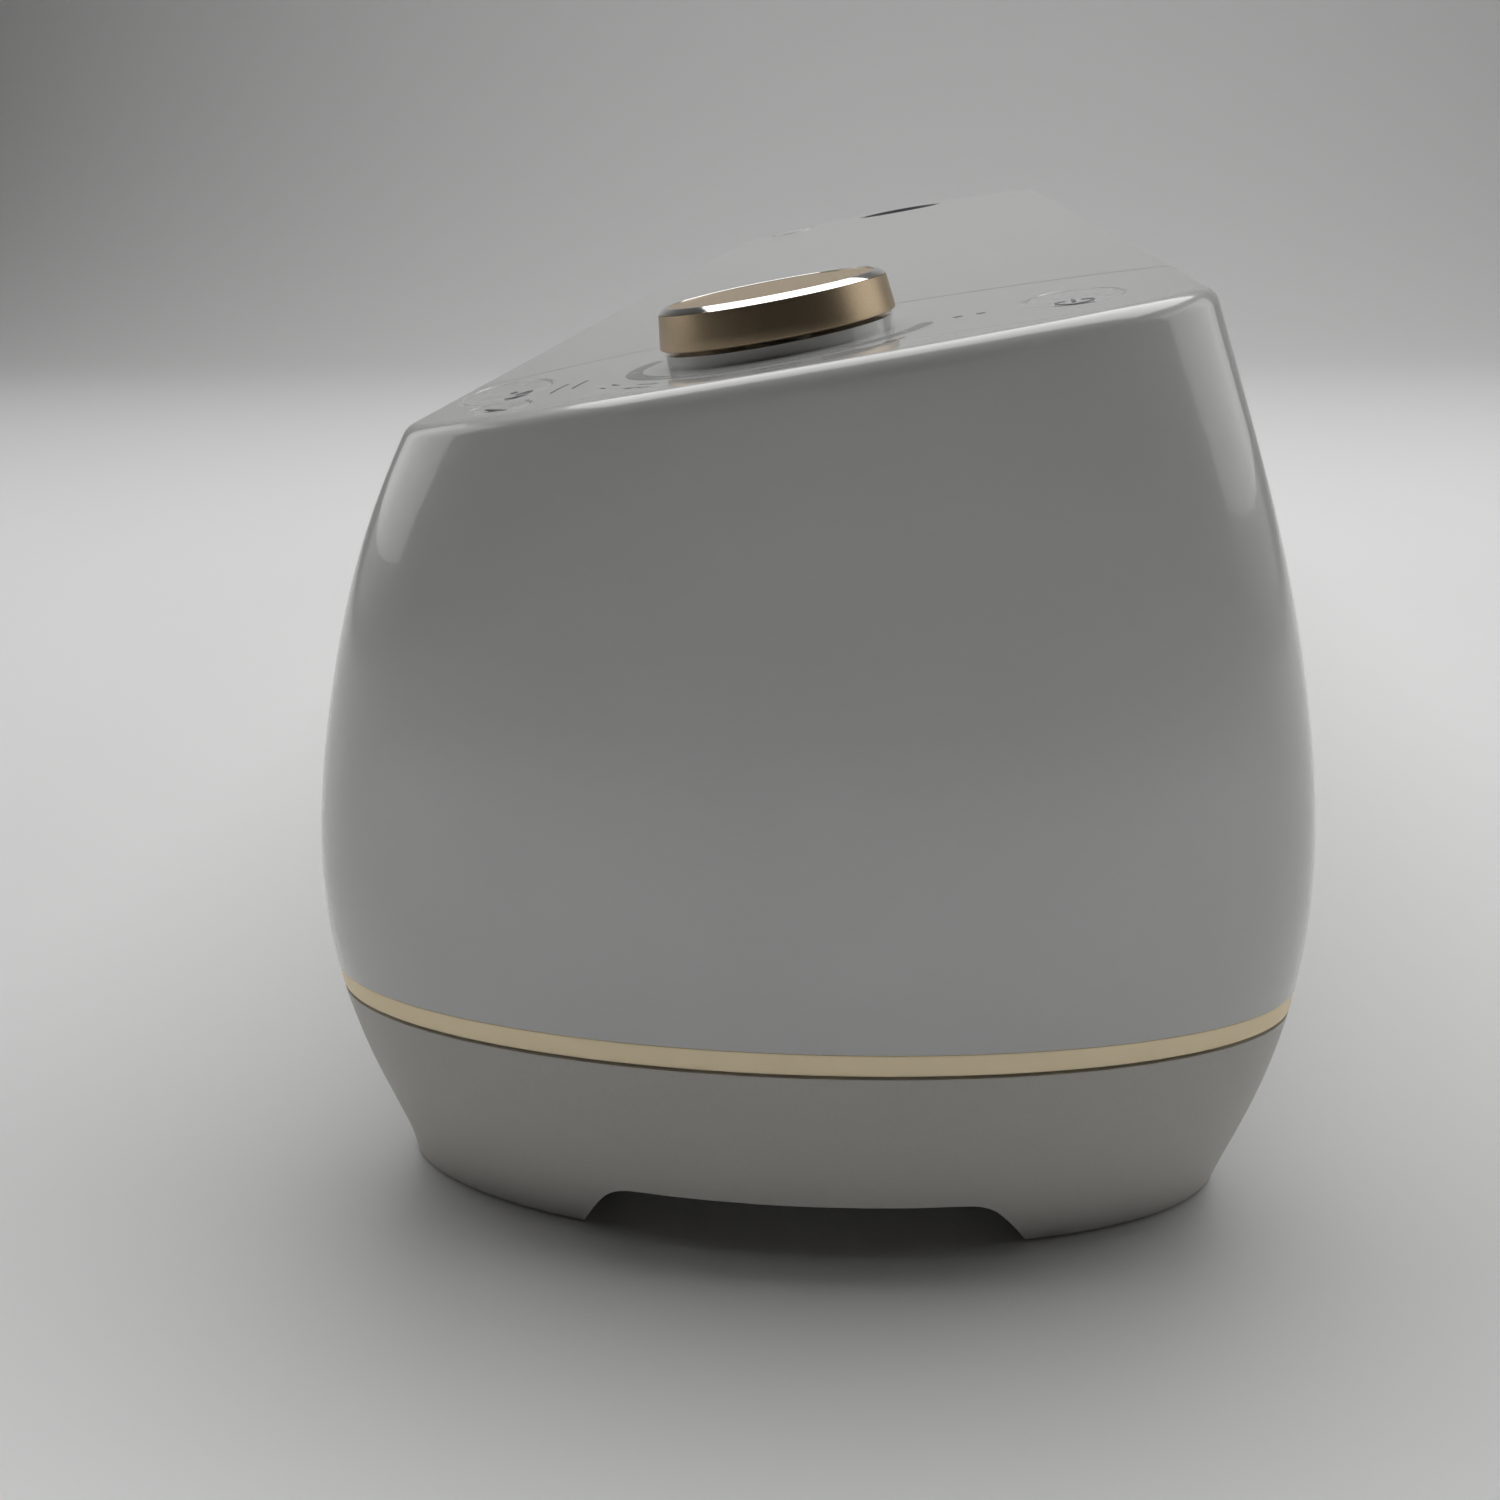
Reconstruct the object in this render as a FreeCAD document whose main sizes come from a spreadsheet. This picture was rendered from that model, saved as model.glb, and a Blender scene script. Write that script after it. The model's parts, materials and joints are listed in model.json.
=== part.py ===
import FreeCAD, Part
import math
import os
import re

from FreeCAD import Placement, Rotation, Vector

# Desktop craft cutting machine.
# Frame: origin on the table under the middle of the machine, +X to the user's
# right (the end with the dial), -Y to the front, +Z up.  Millimetres.

doc = FreeCAD.newDocument("cutting_machine")
sheet = doc.addObject("Spreadsheet::Sheet", "Sizes")

SIZES = [
    # outer mould: reach to the front, to the rear and to the end at eight heights
    ("lev_a", 0), ("front_a", 80.2), ("rear_a", 77), ("tip_a", 270.3),
    ("lev_b", 24), ("front_b", 83.2), ("rear_b", 82.2), ("tip_b", 278.6),
    ("lev_c", 48), ("front_c", 88.2), ("rear_c", 86.9), ("tip_c", 280.3),
    ("lev_d", 75), ("front_d", 88.3), ("rear_d", 87.6), ("tip_d", 279.2),
    ("lev_e", 100), ("front_e", 83.5), ("rear_e", 84), ("tip_e", 278.2),
    ("lev_f", 125), ("front_f", 75.6), ("rear_f", 77.9), ("tip_f", 277.2),
    ("lev_g", 150), ("front_g", 62.8), ("rear_g", 69.6), ("tip_g", 276.8),
    ("lev_k", 178), ("front_k", 46.5), ("rear_k", 60.5), ("tip_k", 275),
    ("end_bulge", 31.4),
    # top face: height at the middle, rise to the back, crown, soft fall at the ends
    ("top_z", 156.6), ("top_rise", 0.1605), ("top_crown", 0.0004),
    ("top_flat", 262), ("top_fall", 200), ("rim_fillet", 3.6),
    # shells
    ("wall", 2.5), ("base_wall", 3), ("split_x", 203.7), ("split_r", 500), ("gap", 0.5),
    ("foot_drop", 0.5), ("floor_lo", 9), ("floor_hi", 12),
    ("base_top", 41.3), ("band_lo", 41.8), ("band_hi", 46),
    ("arch_half", 41), ("arch_z", 12.3),
    ("door_top", 99.6), ("lid_front", 100.4),
    ("barrel", 4.7), ("pin_r", 1.5), ("pin_fit", 0.06), ("lid_axis_z", 148.5),
    # frame and deck
    ("frame_x", 216), ("frame_t", 2), ("bay_x", 211.3), ("deck_z", 70), ("deck_t", 3),
    ("deck_front", 62), ("deck_back", 84), ("slot_half", 165),
    # rollers
    ("roll_y", 10), ("roll_z", 62.2), ("roll_r", 8), ("roll_half", 160), ("shaft_r", 3),
    ("pinch_z", 76), ("pinch_r", 5), ("pinch_shaft_r", 2.5),
    ("gear_teeth", 36), ("pinion_teeth", 12), ("gear_mod", 1),
    ("gear_x", 222), ("gear_w", 6), ("motor_r", 16),
    # rails, belt and carriage
    ("rail_y", 20), ("rail_z", 122), ("rail_r", 5), ("flat_y", 30), ("flat_z", 96),
    ("car_x", 165), ("car_half", 32), ("belt_x", 240), ("belt_y", 41.5), ("belt_z", 116),
    ("pulley_r", 8), ("tool_y", 13), ("tool_dx", 15), ("hold_r", 8), ("clamp_y", 24.5),
    ("clamp_z", 102.5),
    # control panel
    ("dial_x", 241.5), ("dial_y", 3.75), ("dial_r", 19.5), ("dial_top_r", 18.7),
    ("dial_lo", 2.6), ("dial_mid", 8.3), ("dial_hi", 9.2), ("boss_r", 18.8), ("boss_h", 1.9),
    ("dial_shaft", 3), ("board_drop", 15),
    ("pow_x", 240), ("pow_y", 43.5), ("pow_a", 12.5), ("pow_b", 7.8),
    ("load_x", 229), ("load_y", 53.5), ("load_a", 17), ("load_b", 8), ("load_turn", 20),
    ("go_x", 253), ("go_y", 48.5), ("go_a", 8.5), ("go_b", 3.9), ("go_turn", 40),
    ("open_x", 239), ("open_y", 42), ("open_r", 9),
    ("cup_x", 241), ("cup_y", 5), ("cup_r", 17.5), ("cup_z", 94),
]
NAMES = [n for n, _ in SIZES]
for i, (n, v) in enumerate(SIZES):
    sheet.set("A%d" % (i + 1), n)
    sheet.set("B%d" % (i + 1), str(v))
    sheet.setAlias("B%d" % (i + 1), n)
doc.recompute()
P = {n: float(sheet.get(n)) for n in NAMES}

PARTS = []          # (label, object) of every sub-part


def ex(text):
    """Turn 'deck_z - deck_t' into 'Sizes.deck_z - Sizes.deck_t'."""
    return re.sub(r"[A-Za-z_]+[A-Za-z_0-9]*",
                  lambda g: "Sizes." + g.group(0) if g.group(0) in NAMES else g.group(0), str(text))


def val(text):
    """The number that an expression of sheet names gives."""
    tok = re.findall(r"[A-Za-z_][A-Za-z_0-9]*|[0-9.]+|[-+*/()]", str(text))
    pos = [0]

    def factor():
        t = tok[pos[0]]
        pos[0] += 1
        if t == "-":
            return -factor()
        if t == "+":
            return factor()
        if t == "(":
            r = total()
            pos[0] += 1
            return r
        return P[t] if t in P else float(t)

    def product():
        r = factor()
        while pos[0] < len(tok) and tok[pos[0]] in "*/":
            o = tok[pos[0]]
            pos[0] += 1
            f = factor()
            r = r * f if o == "*" else r / f
        return r

    def total():
        r = product()
        while pos[0] < len(tok) and tok[pos[0]] in "+-":
            o = tok[pos[0]]
            pos[0] += 1
            f = product()
            r = r + f if o == "+" else r - f
        return r

    return total()


def sub_part(label, obj):
    obj.Label = label
    PARTS.append((label, obj))
    return obj


def place(o, x, y, z, rot=None):
    if rot is not None:
        o.Placement = Placement(Vector(0, 0, 0), rot)
    for ax, e in zip("xyz", (x, y, z)):
        o.setExpression("Placement.Base." + ax, ex(e))
    return o


def box(name, x0, x1, y0, y1, z0, z1):
    o = doc.addObject("Part::Box", name)
    o.setExpression("Length", ex("(%s) - (%s)" % (x1, x0)))
    o.setExpression("Width", ex("(%s) - (%s)" % (y1, y0)))
    o.setExpression("Height", ex("(%s) - (%s)" % (z1, z0)))
    return place(o, x0, y0, z0)


ALONG = {"X": Rotation(Vector(0, 1, 0), 90), "Y": Rotation(Vector(1, 0, 0), -90), "Z": Rotation()}


def cyl(name, r, a0, a1, p, q, ax="Z"):
    """Cylinder from a0 to a1 along ax, through (p, q) on the other two axes."""
    o = doc.addObject("Part::Cylinder", name)
    o.setExpression("Radius", ex(r))
    o.setExpression("Height", ex("(%s) - (%s)" % (a1, a0)))
    at = {"X": (a0, p, q), "Y": (p, a0, q), "Z": (p, q, a0)}[ax]
    return place(o, at[0], at[1], at[2], ALONG[ax])


def cone(name, r0, r1, a0, a1, p, q):
    o = doc.addObject("Part::Cone", name)
    o.setExpression("Radius1", ex(r0))
    o.setExpression("Radius2", ex(r1))
    o.setExpression("Height", ex("(%s) - (%s)" % (a1, a0)))
    return place(o, p, q, a0)


def fuse(name, *items):
    o = doc.addObject("Part::MultiFuse", name)
    o.Shapes = list(items)
    return o


def cut(name, base, *tools):
    o = doc.addObject("Part::Cut", name)
    o.Base = base
    o.Tool = tools[0] if len(tools) == 1 else fuse(name + "_tools", *tools)
    return o


def common(name, *items):
    o = doc.addObject("Part::MultiCommon", name)
    o.Shapes = list(items)
    return o


def group(name, *items):
    o = doc.addObject("Part::Compound", name)
    o.Links = list(items)
    return o


def solid_feature(name, shape, placement=None):
    o = doc.addObject("Part::Feature", name)
    o.Shape = shape
    if placement is not None:
        o.Placement = placement
    return o


def revolved(name, points, placement):
    """PartDesign body turned about its own Z from a half profile (r, z)."""
    body = doc.addObject("PartDesign::Body", name)
    sk = body.newObject("Sketcher::SketchObject", name + "_profile")
    plane = [f for f in body.Origin.OriginFeatures if f.Role == "XZ_Plane"][0]
    sk.AttachmentSupport = [(plane, "")]
    sk.MapMode = "FlatFace"
    import Sketcher
    n = len(points)
    num = [(val(r), val(z)) for r, z in points]
    for i in range(n):
        a, b = num[i], num[(i + 1) % n]
        sk.addGeometry(Part.LineSegment(Vector(a[0], a[1], 0), Vector(b[0], b[1], 0)), False)
    for i in range(n):
        sk.addConstraint(Sketcher.Constraint("Coincident", i, 2, (i + 1) % n, 1))
    for i, (r, z) in enumerate(points):
        if abs(num[i][0]) < 1e-9:
            sk.addConstraint(Sketcher.Constraint("PointOnObject", i, 1, -2))
        else:
            k = sk.addConstraint(Sketcher.Constraint("DistanceX", -1, 1, i, 1, num[i][0]))
            sk.setExpression("Constraints[%d]" % k, ex(r))
        if abs(num[i][1]) < 1e-9:
            sk.addConstraint(Sketcher.Constraint("PointOnObject", i, 1, -1))
        else:
            k = sk.addConstraint(Sketcher.Constraint("DistanceY", -1, 1, i, 1, num[i][1]))
            sk.setExpression("Constraints[%d]" % k, ex(z))
    rev = body.newObject("PartDesign::Revolution", name + "_turn")
    rev.Profile = sk
    rev.ReferenceAxis = (sk, ["V_Axis"])
    rev.Angle = 360
    body.Tip = rev
    body.Placement = placement
    return body


# ---------------------------------------------------------------- outer mould

LEVELS = "abcdefgk"


def section(z, front, rear, tip, bulge):
    """Plan outline at one height: straight front and back, half-elliptical ends."""
    c = tip - bulge
    half, mid_y = (front + rear) / 2.0, (rear - front) / 2.0
    e = [Part.makeLine(Vector(-c, -front, z), Vector(c, -front, z))]
    for s in (1, -1):
        el = Part.Ellipse(Vector(s * c, mid_y + half, z), Vector(s * c + bulge, mid_y, z), Vector(s * c, mid_y, z))
        start = el.parameter(Vector(s * c, mid_y - s * half, z))
        end = el.parameter(Vector(s * c, mid_y + s * half, z))
        if end <= start:
            end += 2 * math.pi
        mid = el.value((start + end) / 2)
        if (mid.x - s * c) * s < 0:
            start, end = end, start + 2 * math.pi
        e.append(Part.ArcOfEllipse(el, start, end).toShape())
        if s == 1:
            e.append(Part.makeLine(Vector(c, rear, z), Vector(-c, rear, z)))
    return Part.Wire(Part.__sortEdges__(e))


def top_height(x, y):
    fall = max(abs(x) - P["top_flat"], 0.0)
    return P["top_z"] + P["top_rise"] * y - P["top_crown"] * y * y - fall * fall / (2 * P["top_fall"])


def under_top(drop):
    """Solid below the sloping, slightly crowned top face."""
    xs = [-300, -284, -272, -262, -250, -200, -100, 0, 100, 200, 250, 262, 272, 284, 300]
    ys = [-110, -85, -60, -35, -10, 15, 40, 65, 90, 110]
    grid = [[Vector(x, y, top_height(x, y) - drop) for y in ys] for x in xs]
    surf = Part.BSplineSurface()
    surf.interpolate(grid)
    return surf.toShape().extrude(Vector(0, 0, -260))


def mould(offset, fillet):
    wires = []
    for k in LEVELS:
        wires.append(section(P["lev_" + k], P["front_" + k] - offset, P["rear_" + k] - offset,
                             P["tip_" + k] - offset, P["end_bulge"] - offset))
    loft = Part.makeLoft(wires, True, False)
    body = loft.common(under_top(offset * 1.012))
    if body.ShapeType != "Solid":
        body = body.Solids[0]
    if fillet > 0:
        rim = []
        for ed in body.Edges:
            bb = ed.BoundBox
            zc = [top_height(v.X, v.Y) - offset * 1.012 for v in ed.Vertexes]
            if zc and all(abs(v.Z - h) < 0.05 for v, h in zip(ed.Vertexes, zc)) and bb.ZMax > 120:
                rim.append(ed)
        body = body.makeFillet(fillet, rim)
        if body.ShapeType != "Solid":
            body = body.Solids[0]
    return body


outer = solid_feature("mould_outer", mould(0.0, P["rim_fillet"]))
inner = solid_feature("mould_inner", mould(P["wall"], P["rim_fillet"] - 1.8))
base_inner = solid_feature("mould_base", mould(P["base_wall"], 0))
lip_shape = solid_feature("mould_lip", mould(1.0, 0))
rib_inner = solid_feature("mould_rib", mould(P["wall"] + 5.0, 0))


def depth_at(z, side):
    """Reach of the outer mould to the front (-1) or rear (1) at height z."""
    probe = Part.makeLine(Vector(0, 0, z), Vector(0, side * 130, z)).common(outer.Shape)
    return max(abs(v.Y) for v in probe.Vertexes)


LID_Z = P["lid_axis_z"]
LID_Y = depth_at(LID_Z, 1) - P["barrel"] - 0.05
DOOR_Z = P["band_hi"] + 0.8 + P["barrel"]
DOOR_Y = -(depth_at(DOOR_Z, -1) - P["barrel"] - 0.05)
sheet.set("D1", "lid_axis_y")
sheet.set("E1", "%.4f" % LID_Y)
sheet.setAlias("E1", "lid_axis_y")
sheet.set("D2", "door_axis_y")
sheet.set("E2", "%.4f" % DOOR_Y)
sheet.setAlias("E2", "door_axis_y")
sheet.set("D3", "door_axis_z")
sheet.set("E3", "%.4f" % DOOR_Z)
sheet.setAlias("E3", "door_axis_z")
doc.recompute()
for n in ("lid_axis_y", "door_axis_y", "door_axis_z"):
    NAMES.append(n)
    P[n] = float(sheet.get(n))

shell = cut("shell", outer, inner)


def big_cyl(name, side, extra):
    """Large upright cylinder whose face is the curved split at one end."""
    o = doc.addObject("Part::Cylinder", name)
    o.setExpression("Radius", ex("split_r + %s" % extra))
    o.Height = 400
    return place(o, "%s(split_x + split_r)" % ("-" if side < 0 else ""), "0", "-50")


# ---------------------------------------------------------------- base and trim

slab = box("base_slab", "-300", "300", "-120", "120", "foot_drop", "base_top")
base_out = common("base_out", outer, slab)
lip_slab = box("lip_slab", "-300", "300", "-120", "120", "base_top - 0.2", "band_lo")
lip = common("base_lip", lip_shape, lip_slab)
base_full = fuse("base_full", base_out, lip)
above = common("base_above", base_inner, box("base_above_slab", "-300", "300", "-120", "120", "floor_hi", "60"))
below = common("base_below", base_inner, box("base_below_slab", "-300", "300", "-120", "120", "-5", "floor_lo"))


def arch_tool():
    """Low arch through both end walls, with swept corners."""
    h, t = P["arch_half"], P["arch_z"]
    left = Part.BSplineCurve()
    left.interpolate(Points=[Vector(0, -h, 0.0), Vector(0, -h + 1.3, 2.0), Vector(0, -h + 3.4, 6.0),
                             Vector(0, -h + 6.2, t - 2.2), Vector(0, -h + 11.5, t)],
                     InitialTangent=Vector(0, 0.8, 0.6), FinalTangent=Vector(0, 1, 0))
    right = Part.BSplineCurve()
    right.interpolate(Points=[Vector(0, h - 11.5, t), Vector(0, h - 6.2, t - 2.2), Vector(0, h - 3.4, 6.0),
                              Vector(0, h - 1.3, 2.0), Vector(0, h, 0.0)],
                      InitialTangent=Vector(0, 1, 0), FinalTangent=Vector(0, 0.8, -0.6))
    pts = [Vector(0, h, 0), Vector(0, h, -4), Vector(0, -h, -4), Vector(0, -h, 0)]
    edges = [left.toShape(), Part.makeLine(Vector(0, -h + 11.5, t), Vector(0, h - 11.5, t)), right.toShape()]
    edges += [Part.makeLine(a, b) for a, b in zip(pts, pts[1:])]
    face = Part.Face(Part.Wire(Part.__sortEdges__(edges)))
    one = face.extrude(Vector(70, 0, 0))
    a = one.copy()
    a.translate(Vector(234, 0, 0))
    b = one.copy()
    b.translate(Vector(-304, 0, 0))
    return Part.makeCompound([a, b])


arches = solid_feature("arches", arch_tool())
inlet_hole = cyl("inlet_hole", "5.9", "70", "95", "150", "28", "Y")
usb_hole = box("usb_hole", "170", "182", "70", "95", "19.5", "30.5")
roofs = [common("arch_roof%d" % i, base_out, box("arch_roof_box%d" % i, a, b, "-54", "54", "floor_lo", "arch_z + 2.6"))
         for i, (a, b) in enumerate([("232.5", "300"), ("-300", "-232.5")])]
tray = cut("tray_cut", fuse("tray_roofed", cut("tray_hollow", base_full, above, below), *roofs), arches, inlet_hole, usb_hole)
FEET = [(230, 54), (230, -54), (-230, 54), (-230, -54)]
bosses = [cyl("foot_boss%d" % i, "11", "2.6", "floor_lo + 0.5", str(x), str(y)) for i, (x, y) in enumerate(FEET)]
SCREWS = [(120, 62), (120, -62), (-120, 62), (-120, -62), (0, 62), (0, -62)]
screw_holes = [cyl("tray_hole%d" % i, "1.6", "5", "14", str(x), str(y)) for i, (x, y) in enumerate(SCREWS)]
tray_full = cut("tray_full", fuse("tray_bossed", tray, *bosses), *screw_holes)
sub_part("base_tray", tray_full)
sub_part("foot_pads", group("pads", *[cyl("pad%d" % i, "9.5", "0", "2.6", str(x), str(y))
                                      for i, (x, y) in enumerate(FEET)]))
heads = []
for i, (x, y) in enumerate(SCREWS):
    heads.append(fuse("screw%d" % i, cyl("head%d" % i, "3", "floor_lo - 1.8", "floor_lo", str(x), str(y)),
                      cyl("shank%d" % i, "1.5", "floor_lo - 0.2", "floor_hi + 1.5", str(x), str(y))))
sub_part("base_screws", group("screws", *heads))

band_slab = box("band_slab", "-300", "300", "-120", "120", "band_lo", "band_hi")
sub_part("trim_band", common("band", shell, band_slab))

# ---------------------------------------------------------------- upper shells

upper = box("upper_slab", "-300", "300", "-130", "130", "band_hi", "220")
cap_shell = common("cap_shell", shell, upper)


def ellipse_prism(x, y, a, b, lo, hi, turn):
    """Upright elliptical prism, major axis along X, standing square to the panel."""
    pl = panel_frame(x, y).multiply(Placement(Vector(), Rotation(Vector(0, 0, 1), turn)))
    el = Part.Ellipse(Vector(0, 0, 0), a, b).toShape()
    pr = Part.Face(Part.Wire([el])).extrude(Vector(0, 0, hi - lo))
    pr.translate(Vector(0, 0, lo))
    pr.Placement = pl.multiply(pr.Placement)
    return pr


def panel_frame(x, y):
    """Local frame on the top face: Z along the face's normal."""
    slope = P["top_rise"] - 2 * P["top_crown"] * y
    return Placement(Vector(x, y, top_height(x, y)), Rotation(Vector(1, 0, 0), math.degrees(math.atan(slope))))


def along_panel(name, x, y, r, lo, hi, dx=0.0, dy=0.0):
    """Cylinder square to the panel at (x, y), shifted by (dx, dy) in the panel."""
    o = doc.addObject("Part::Cylinder", name)
    o.setExpression("Radius", ex(r))
    o.setExpression("Height", ex("(%s) - (%s)" % (hi, lo)))
    o.Placement = panel_frame(x, y).multiply(Placement(Vector(dx, dy, val(lo)), Rotation()))
    return o


DX, DY = P["dial_x"], -P["dial_y"]
BUTTONS = {
    "power_button": (P["pow_x"], P["pow_y"], P["pow_a"], P["pow_b"], 0.0),
    "load_button": (P["load_x"], -P["load_y"], P["load_a"], P["load_b"], P["load_turn"]),
    "go_button": (P["go_x"], -P["go_y"], P["go_a"], P["go_b"], P["go_turn"]),
}
right_cap0 = common("right_cap0", cap_shell, big_cyl("split_right", 1, "0"))
dial_boss = along_panel("dial_boss", DX, DY, "boss_r", "-2", "boss_h")
posts = [along_panel("post%d" % i, DX, DY, "2", "-board_drop + 1.6", "-2", dx, dy)
         for i, (dx, dy) in enumerate([(-14, -29), (14, -28), (-14, 30), (14, 30)])]
holes = [solid_feature(k + "_hole", ellipse_prism(x, y, a + 0.2, b + 0.2, -12, 8, turn)) for k, (x, y, a, b, turn) in BUTTONS.items()]
holes.append(along_panel("dial_bore", DX, DY, "dial_shaft + pin_fit", "-12", "12"))
sub_part("right_end_cap", cut("right_cap", fuse("right_cap1", right_cap0, dial_boss, *posts), *holes))

left_cap0 = common("left_cap0", cap_shell, big_cyl("split_left", -1, "0"))
OX, OY = -P["open_x"], -P["open_y"]
cup_cut = cyl("cup_cut", "cup_r", "120", "200", "-cup_x", "cup_y")
open_bore = along_panel("open_bore", OX, OY, "open_r + 0.2", "-12", "8")
sub_part("left_end_cap", cut("left_cap", left_cap0, cup_cut, open_bore))

split_tools = [big_cyl("gap_right", 1, "gap"), big_cyl("gap_left", -1, "gap")]
middle = cut("middle_shell", cap_shell, *split_tools)

# rear cover, with the slot where the mat leaves
rear_zone = box("rear_zone", "-215", "215", "40", "130", "band_hi", "lid_axis_z - barrel - gap")
mat_slot = box("mat_slot", "-slot_half", "slot_half", "60", "130", "deck_z - 0.5", "deck_z + 6")
sub_part("rear_cover", cut("rear", common("rear0", middle, rear_zone), mat_slot))

# lid: skin, rolled rear edge that turns on two pins, stiffening ribs
lid_zone = fuse("lid_zone", box("lid_zone_front", "-240", "240", "-130", "40", "lid_front", "220"),
                box("lid_zone_rear", "-240", "240", "39", "130", "lid_axis_z", "220"))
lid_skin = common("lid_skin", middle, lid_zone)
lid_barrel = cyl("lid_barrel", "barrel", "-206.5", "206.5", "lid_axis_y", "lid_axis_z", "X")
rib_shape = cut("rib_ring", inner, rib_inner)
ribs = [common("lid_rib%d" % i, rib_shape,
               box("lid_rib_slab%d" % i, str(x - 1.2), str(x + 1.2), "-130", "lid_axis_y - 6", "lid_front + 1", "220"))
        for i, x in enumerate((-201, -100, 0, 100, 201))]
tabs = [box("lid_tab%d" % i, str(x - 1.2), str(x + 1.2), "-47", "-37", "122", "145") for i, x in enumerate((-201, 201))]
lid_bores = [cyl("lid_bore0", "pin_r + pin_fit", "195", "207", "lid_axis_y", "lid_axis_z", "X"),
             cyl("lid_bore1", "pin_r + pin_fit", "-207", "-195", "lid_axis_y", "lid_axis_z", "X")]
sub_part("lid", cut("lid_body", fuse("lid_fused", lid_skin, lid_barrel, *(ribs + tabs)), *lid_bores))
# front door with its rolled lower edge
door_skin = common("door_skin", middle, box("door_zone", "-240", "240", "-130", "-50", "door_axis_z", "door_top"))
door_barrel = cyl("door_barrel", "barrel", "-209", "209", "door_axis_y", "door_axis_z", "X")
door_bores = [cyl("door_bore0", "pin_r + pin_fit", "198", "210", "door_axis_y", "door_axis_z", "X"),
              cyl("door_bore1", "pin_r + pin_fit", "-210", "-198", "door_axis_y", "door_axis_z", "X")]
sub_part("front_door", cut("door_body", fuse("door_fused", door_skin, door_barrel), *door_bores))

# storage bin on the inside of the door, following the door's inner face
bin_block = box("bin_block", "-150", "150", "-100", "-66", "68.5", "94")
bin_out = common("bin_out", inner, bin_block)
bin_in = common("bin_in", rib_inner, box("bin_hollow", "-148.4", "148.4", "-100", "-60", "70.1", "92.4"))
bin_keys = [box("bin_div%d" % i, str(x - 0.8), str(x + 0.8), "-84", "-67.6", "69.5", "93") for i, x in enumerate((-50, 60))]
bin_div = common("bin_walls", inner, fuse("bin_div_all", *bin_keys))
bin_ears = [box("bin_ear%d" % i, str(a), str(b), "-67", "-62.6", "69", "74") for i, (a, b) in enumerate([(149.4, 151), (-151, -149.4)])]
bin_pins = [cyl("bin_pin%d" % i, "0.7", str(a), str(b), "-64.4", "71.7", "X") for i, (a, b) in enumerate([(146, 149.6), (-149.6, -146)])]
sub_part("door_bin", fuse("bin_all", cut("bin_shell", bin_out, bin_in), bin_div, *(bin_ears + bin_pins)))

# cover of the bin, turning on its lower edge
cover_plate = box("cover_plate", "-149", "149", "-65.6", "-64", "71.7", "93.6")
cover_knuckle = cyl("cover_knuckle", "1.5", "-149", "149", "-64.4", "71.7", "X")
cover_tab = box("cover_tab", "-14", "14", "-64.1", "-62.4", "88", "92")
cover_bores = [cyl("cover_bore%d" % i, "0.76", str(a), str(b), "-64.4", "71.7", "X") for i, (a, b) in enumerate([(145, 150), (-150, -145)])]
sub_part("bin_cover", cut("cover_done", fuse("cover_all", cover_plate, cover_knuckle, cover_tab), *cover_bores))


def bay_wall(side):
    s = "" if side > 0 else "-"
    lo, hi = ("bay_x", "bay_x + wall") if side > 0 else ("-bay_x - wall", "-bay_x")
    slab = box("bay_slab%d" % side, lo, hi, "-130", "130", "band_hi", "220")
    plate = common("bay_plate%d" % side, inner, slab)
    a, b = (lo, hi)
    tools = [
        box("bay_deck%d" % side, a, b, "-deck_front", "120", "band_hi - 1", "deck_z"),
        cyl("bay_rail%d" % side, "rail_r + 1", a, b, "rail_y", "rail_z", "X"),
        box("bay_flat%d" % side, a, b, "flat_y - 1", "flat_y + 4", "flat_z - 1", "flat_z + 9"),
        box("bay_belt%d" % side, a, b, "belt_y - 5", "belt_y + 5", "belt_z - 12", "belt_z + 12"),
        cyl("bay_pinch%d" % side, "4", a, b, "roll_y", "pinch_z", "X"),
        cyl("bay_lid_pin%d" % side, "pin_r", a, b, "lid_axis_y", "lid_axis_z", "X"),
        cyl("bay_door_pin%d" % side, "pin_r", a, b, "door_axis_y", "door_axis_z", "X"),
    ]
    if side < 0:
        tools.append(box("bay_latch", a, b, "open_y * -1 - 6.3", "open_y * -1 + 6.3", "121.7", "131.3"))
    else:
        tools.append(box("bay_key", a, b, "load_y * -1 - 12", "load_y * -1 + 10", "141", "200"))
    return cut("bay%d" % side, plate, *tools)


sub_part("right_bay_wall", bay_wall(1))
sub_part("left_bay_wall", bay_wall(-1))


def pins(name, y, z, inner_x):
    out = []
    for side in (1, -1):
        if side > 0:
            a = cyl(name + "_p", "pin_r", inner_x, "bay_x + wall", y, z, "X")
            b = cyl(name + "_ph", "2.2", "bay_x + wall", "bay_x + wall + 1.2", y, z, "X")
        else:
            a = cyl(name + "_m", "pin_r", "-bay_x - wall", "-" + inner_x, y, z, "X")
            b = cyl(name + "_mh", "2.2", "-bay_x - wall - 1.2", "-bay_x - wall", y, z, "X")
        out.append(fuse(name + "_f%d" % side, a, b))
    return group(name, *out)


sub_part("lid_hinge_pins", pins("lid_pins", "lid_axis_y", "lid_axis_z", "197"))
sub_part("door_hinge_pins", pins("door_pins", "door_axis_y", "door_axis_z", "200"))

# magnetic catches in the bay walls, steel plates on the lid
sub_part("lid_strikes", group("strike_pair", *[
    box("strike_r", "202.2", "204.2", "-46", "-38", "123", "130"),
    box("strike_l", "-204.2", "-202.2", "-46", "-38", "123", "130")]))
sub_part("catch_magnet", box("magnet_r", "206", "bay_x", "-46", "-38", "123", "130"))
sub_part("latch_magnet", box("magnet_l", "-bay_x", "-206", "-46", "-38", "123", "130"))

# ---------------------------------------------------------------- chassis

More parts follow.
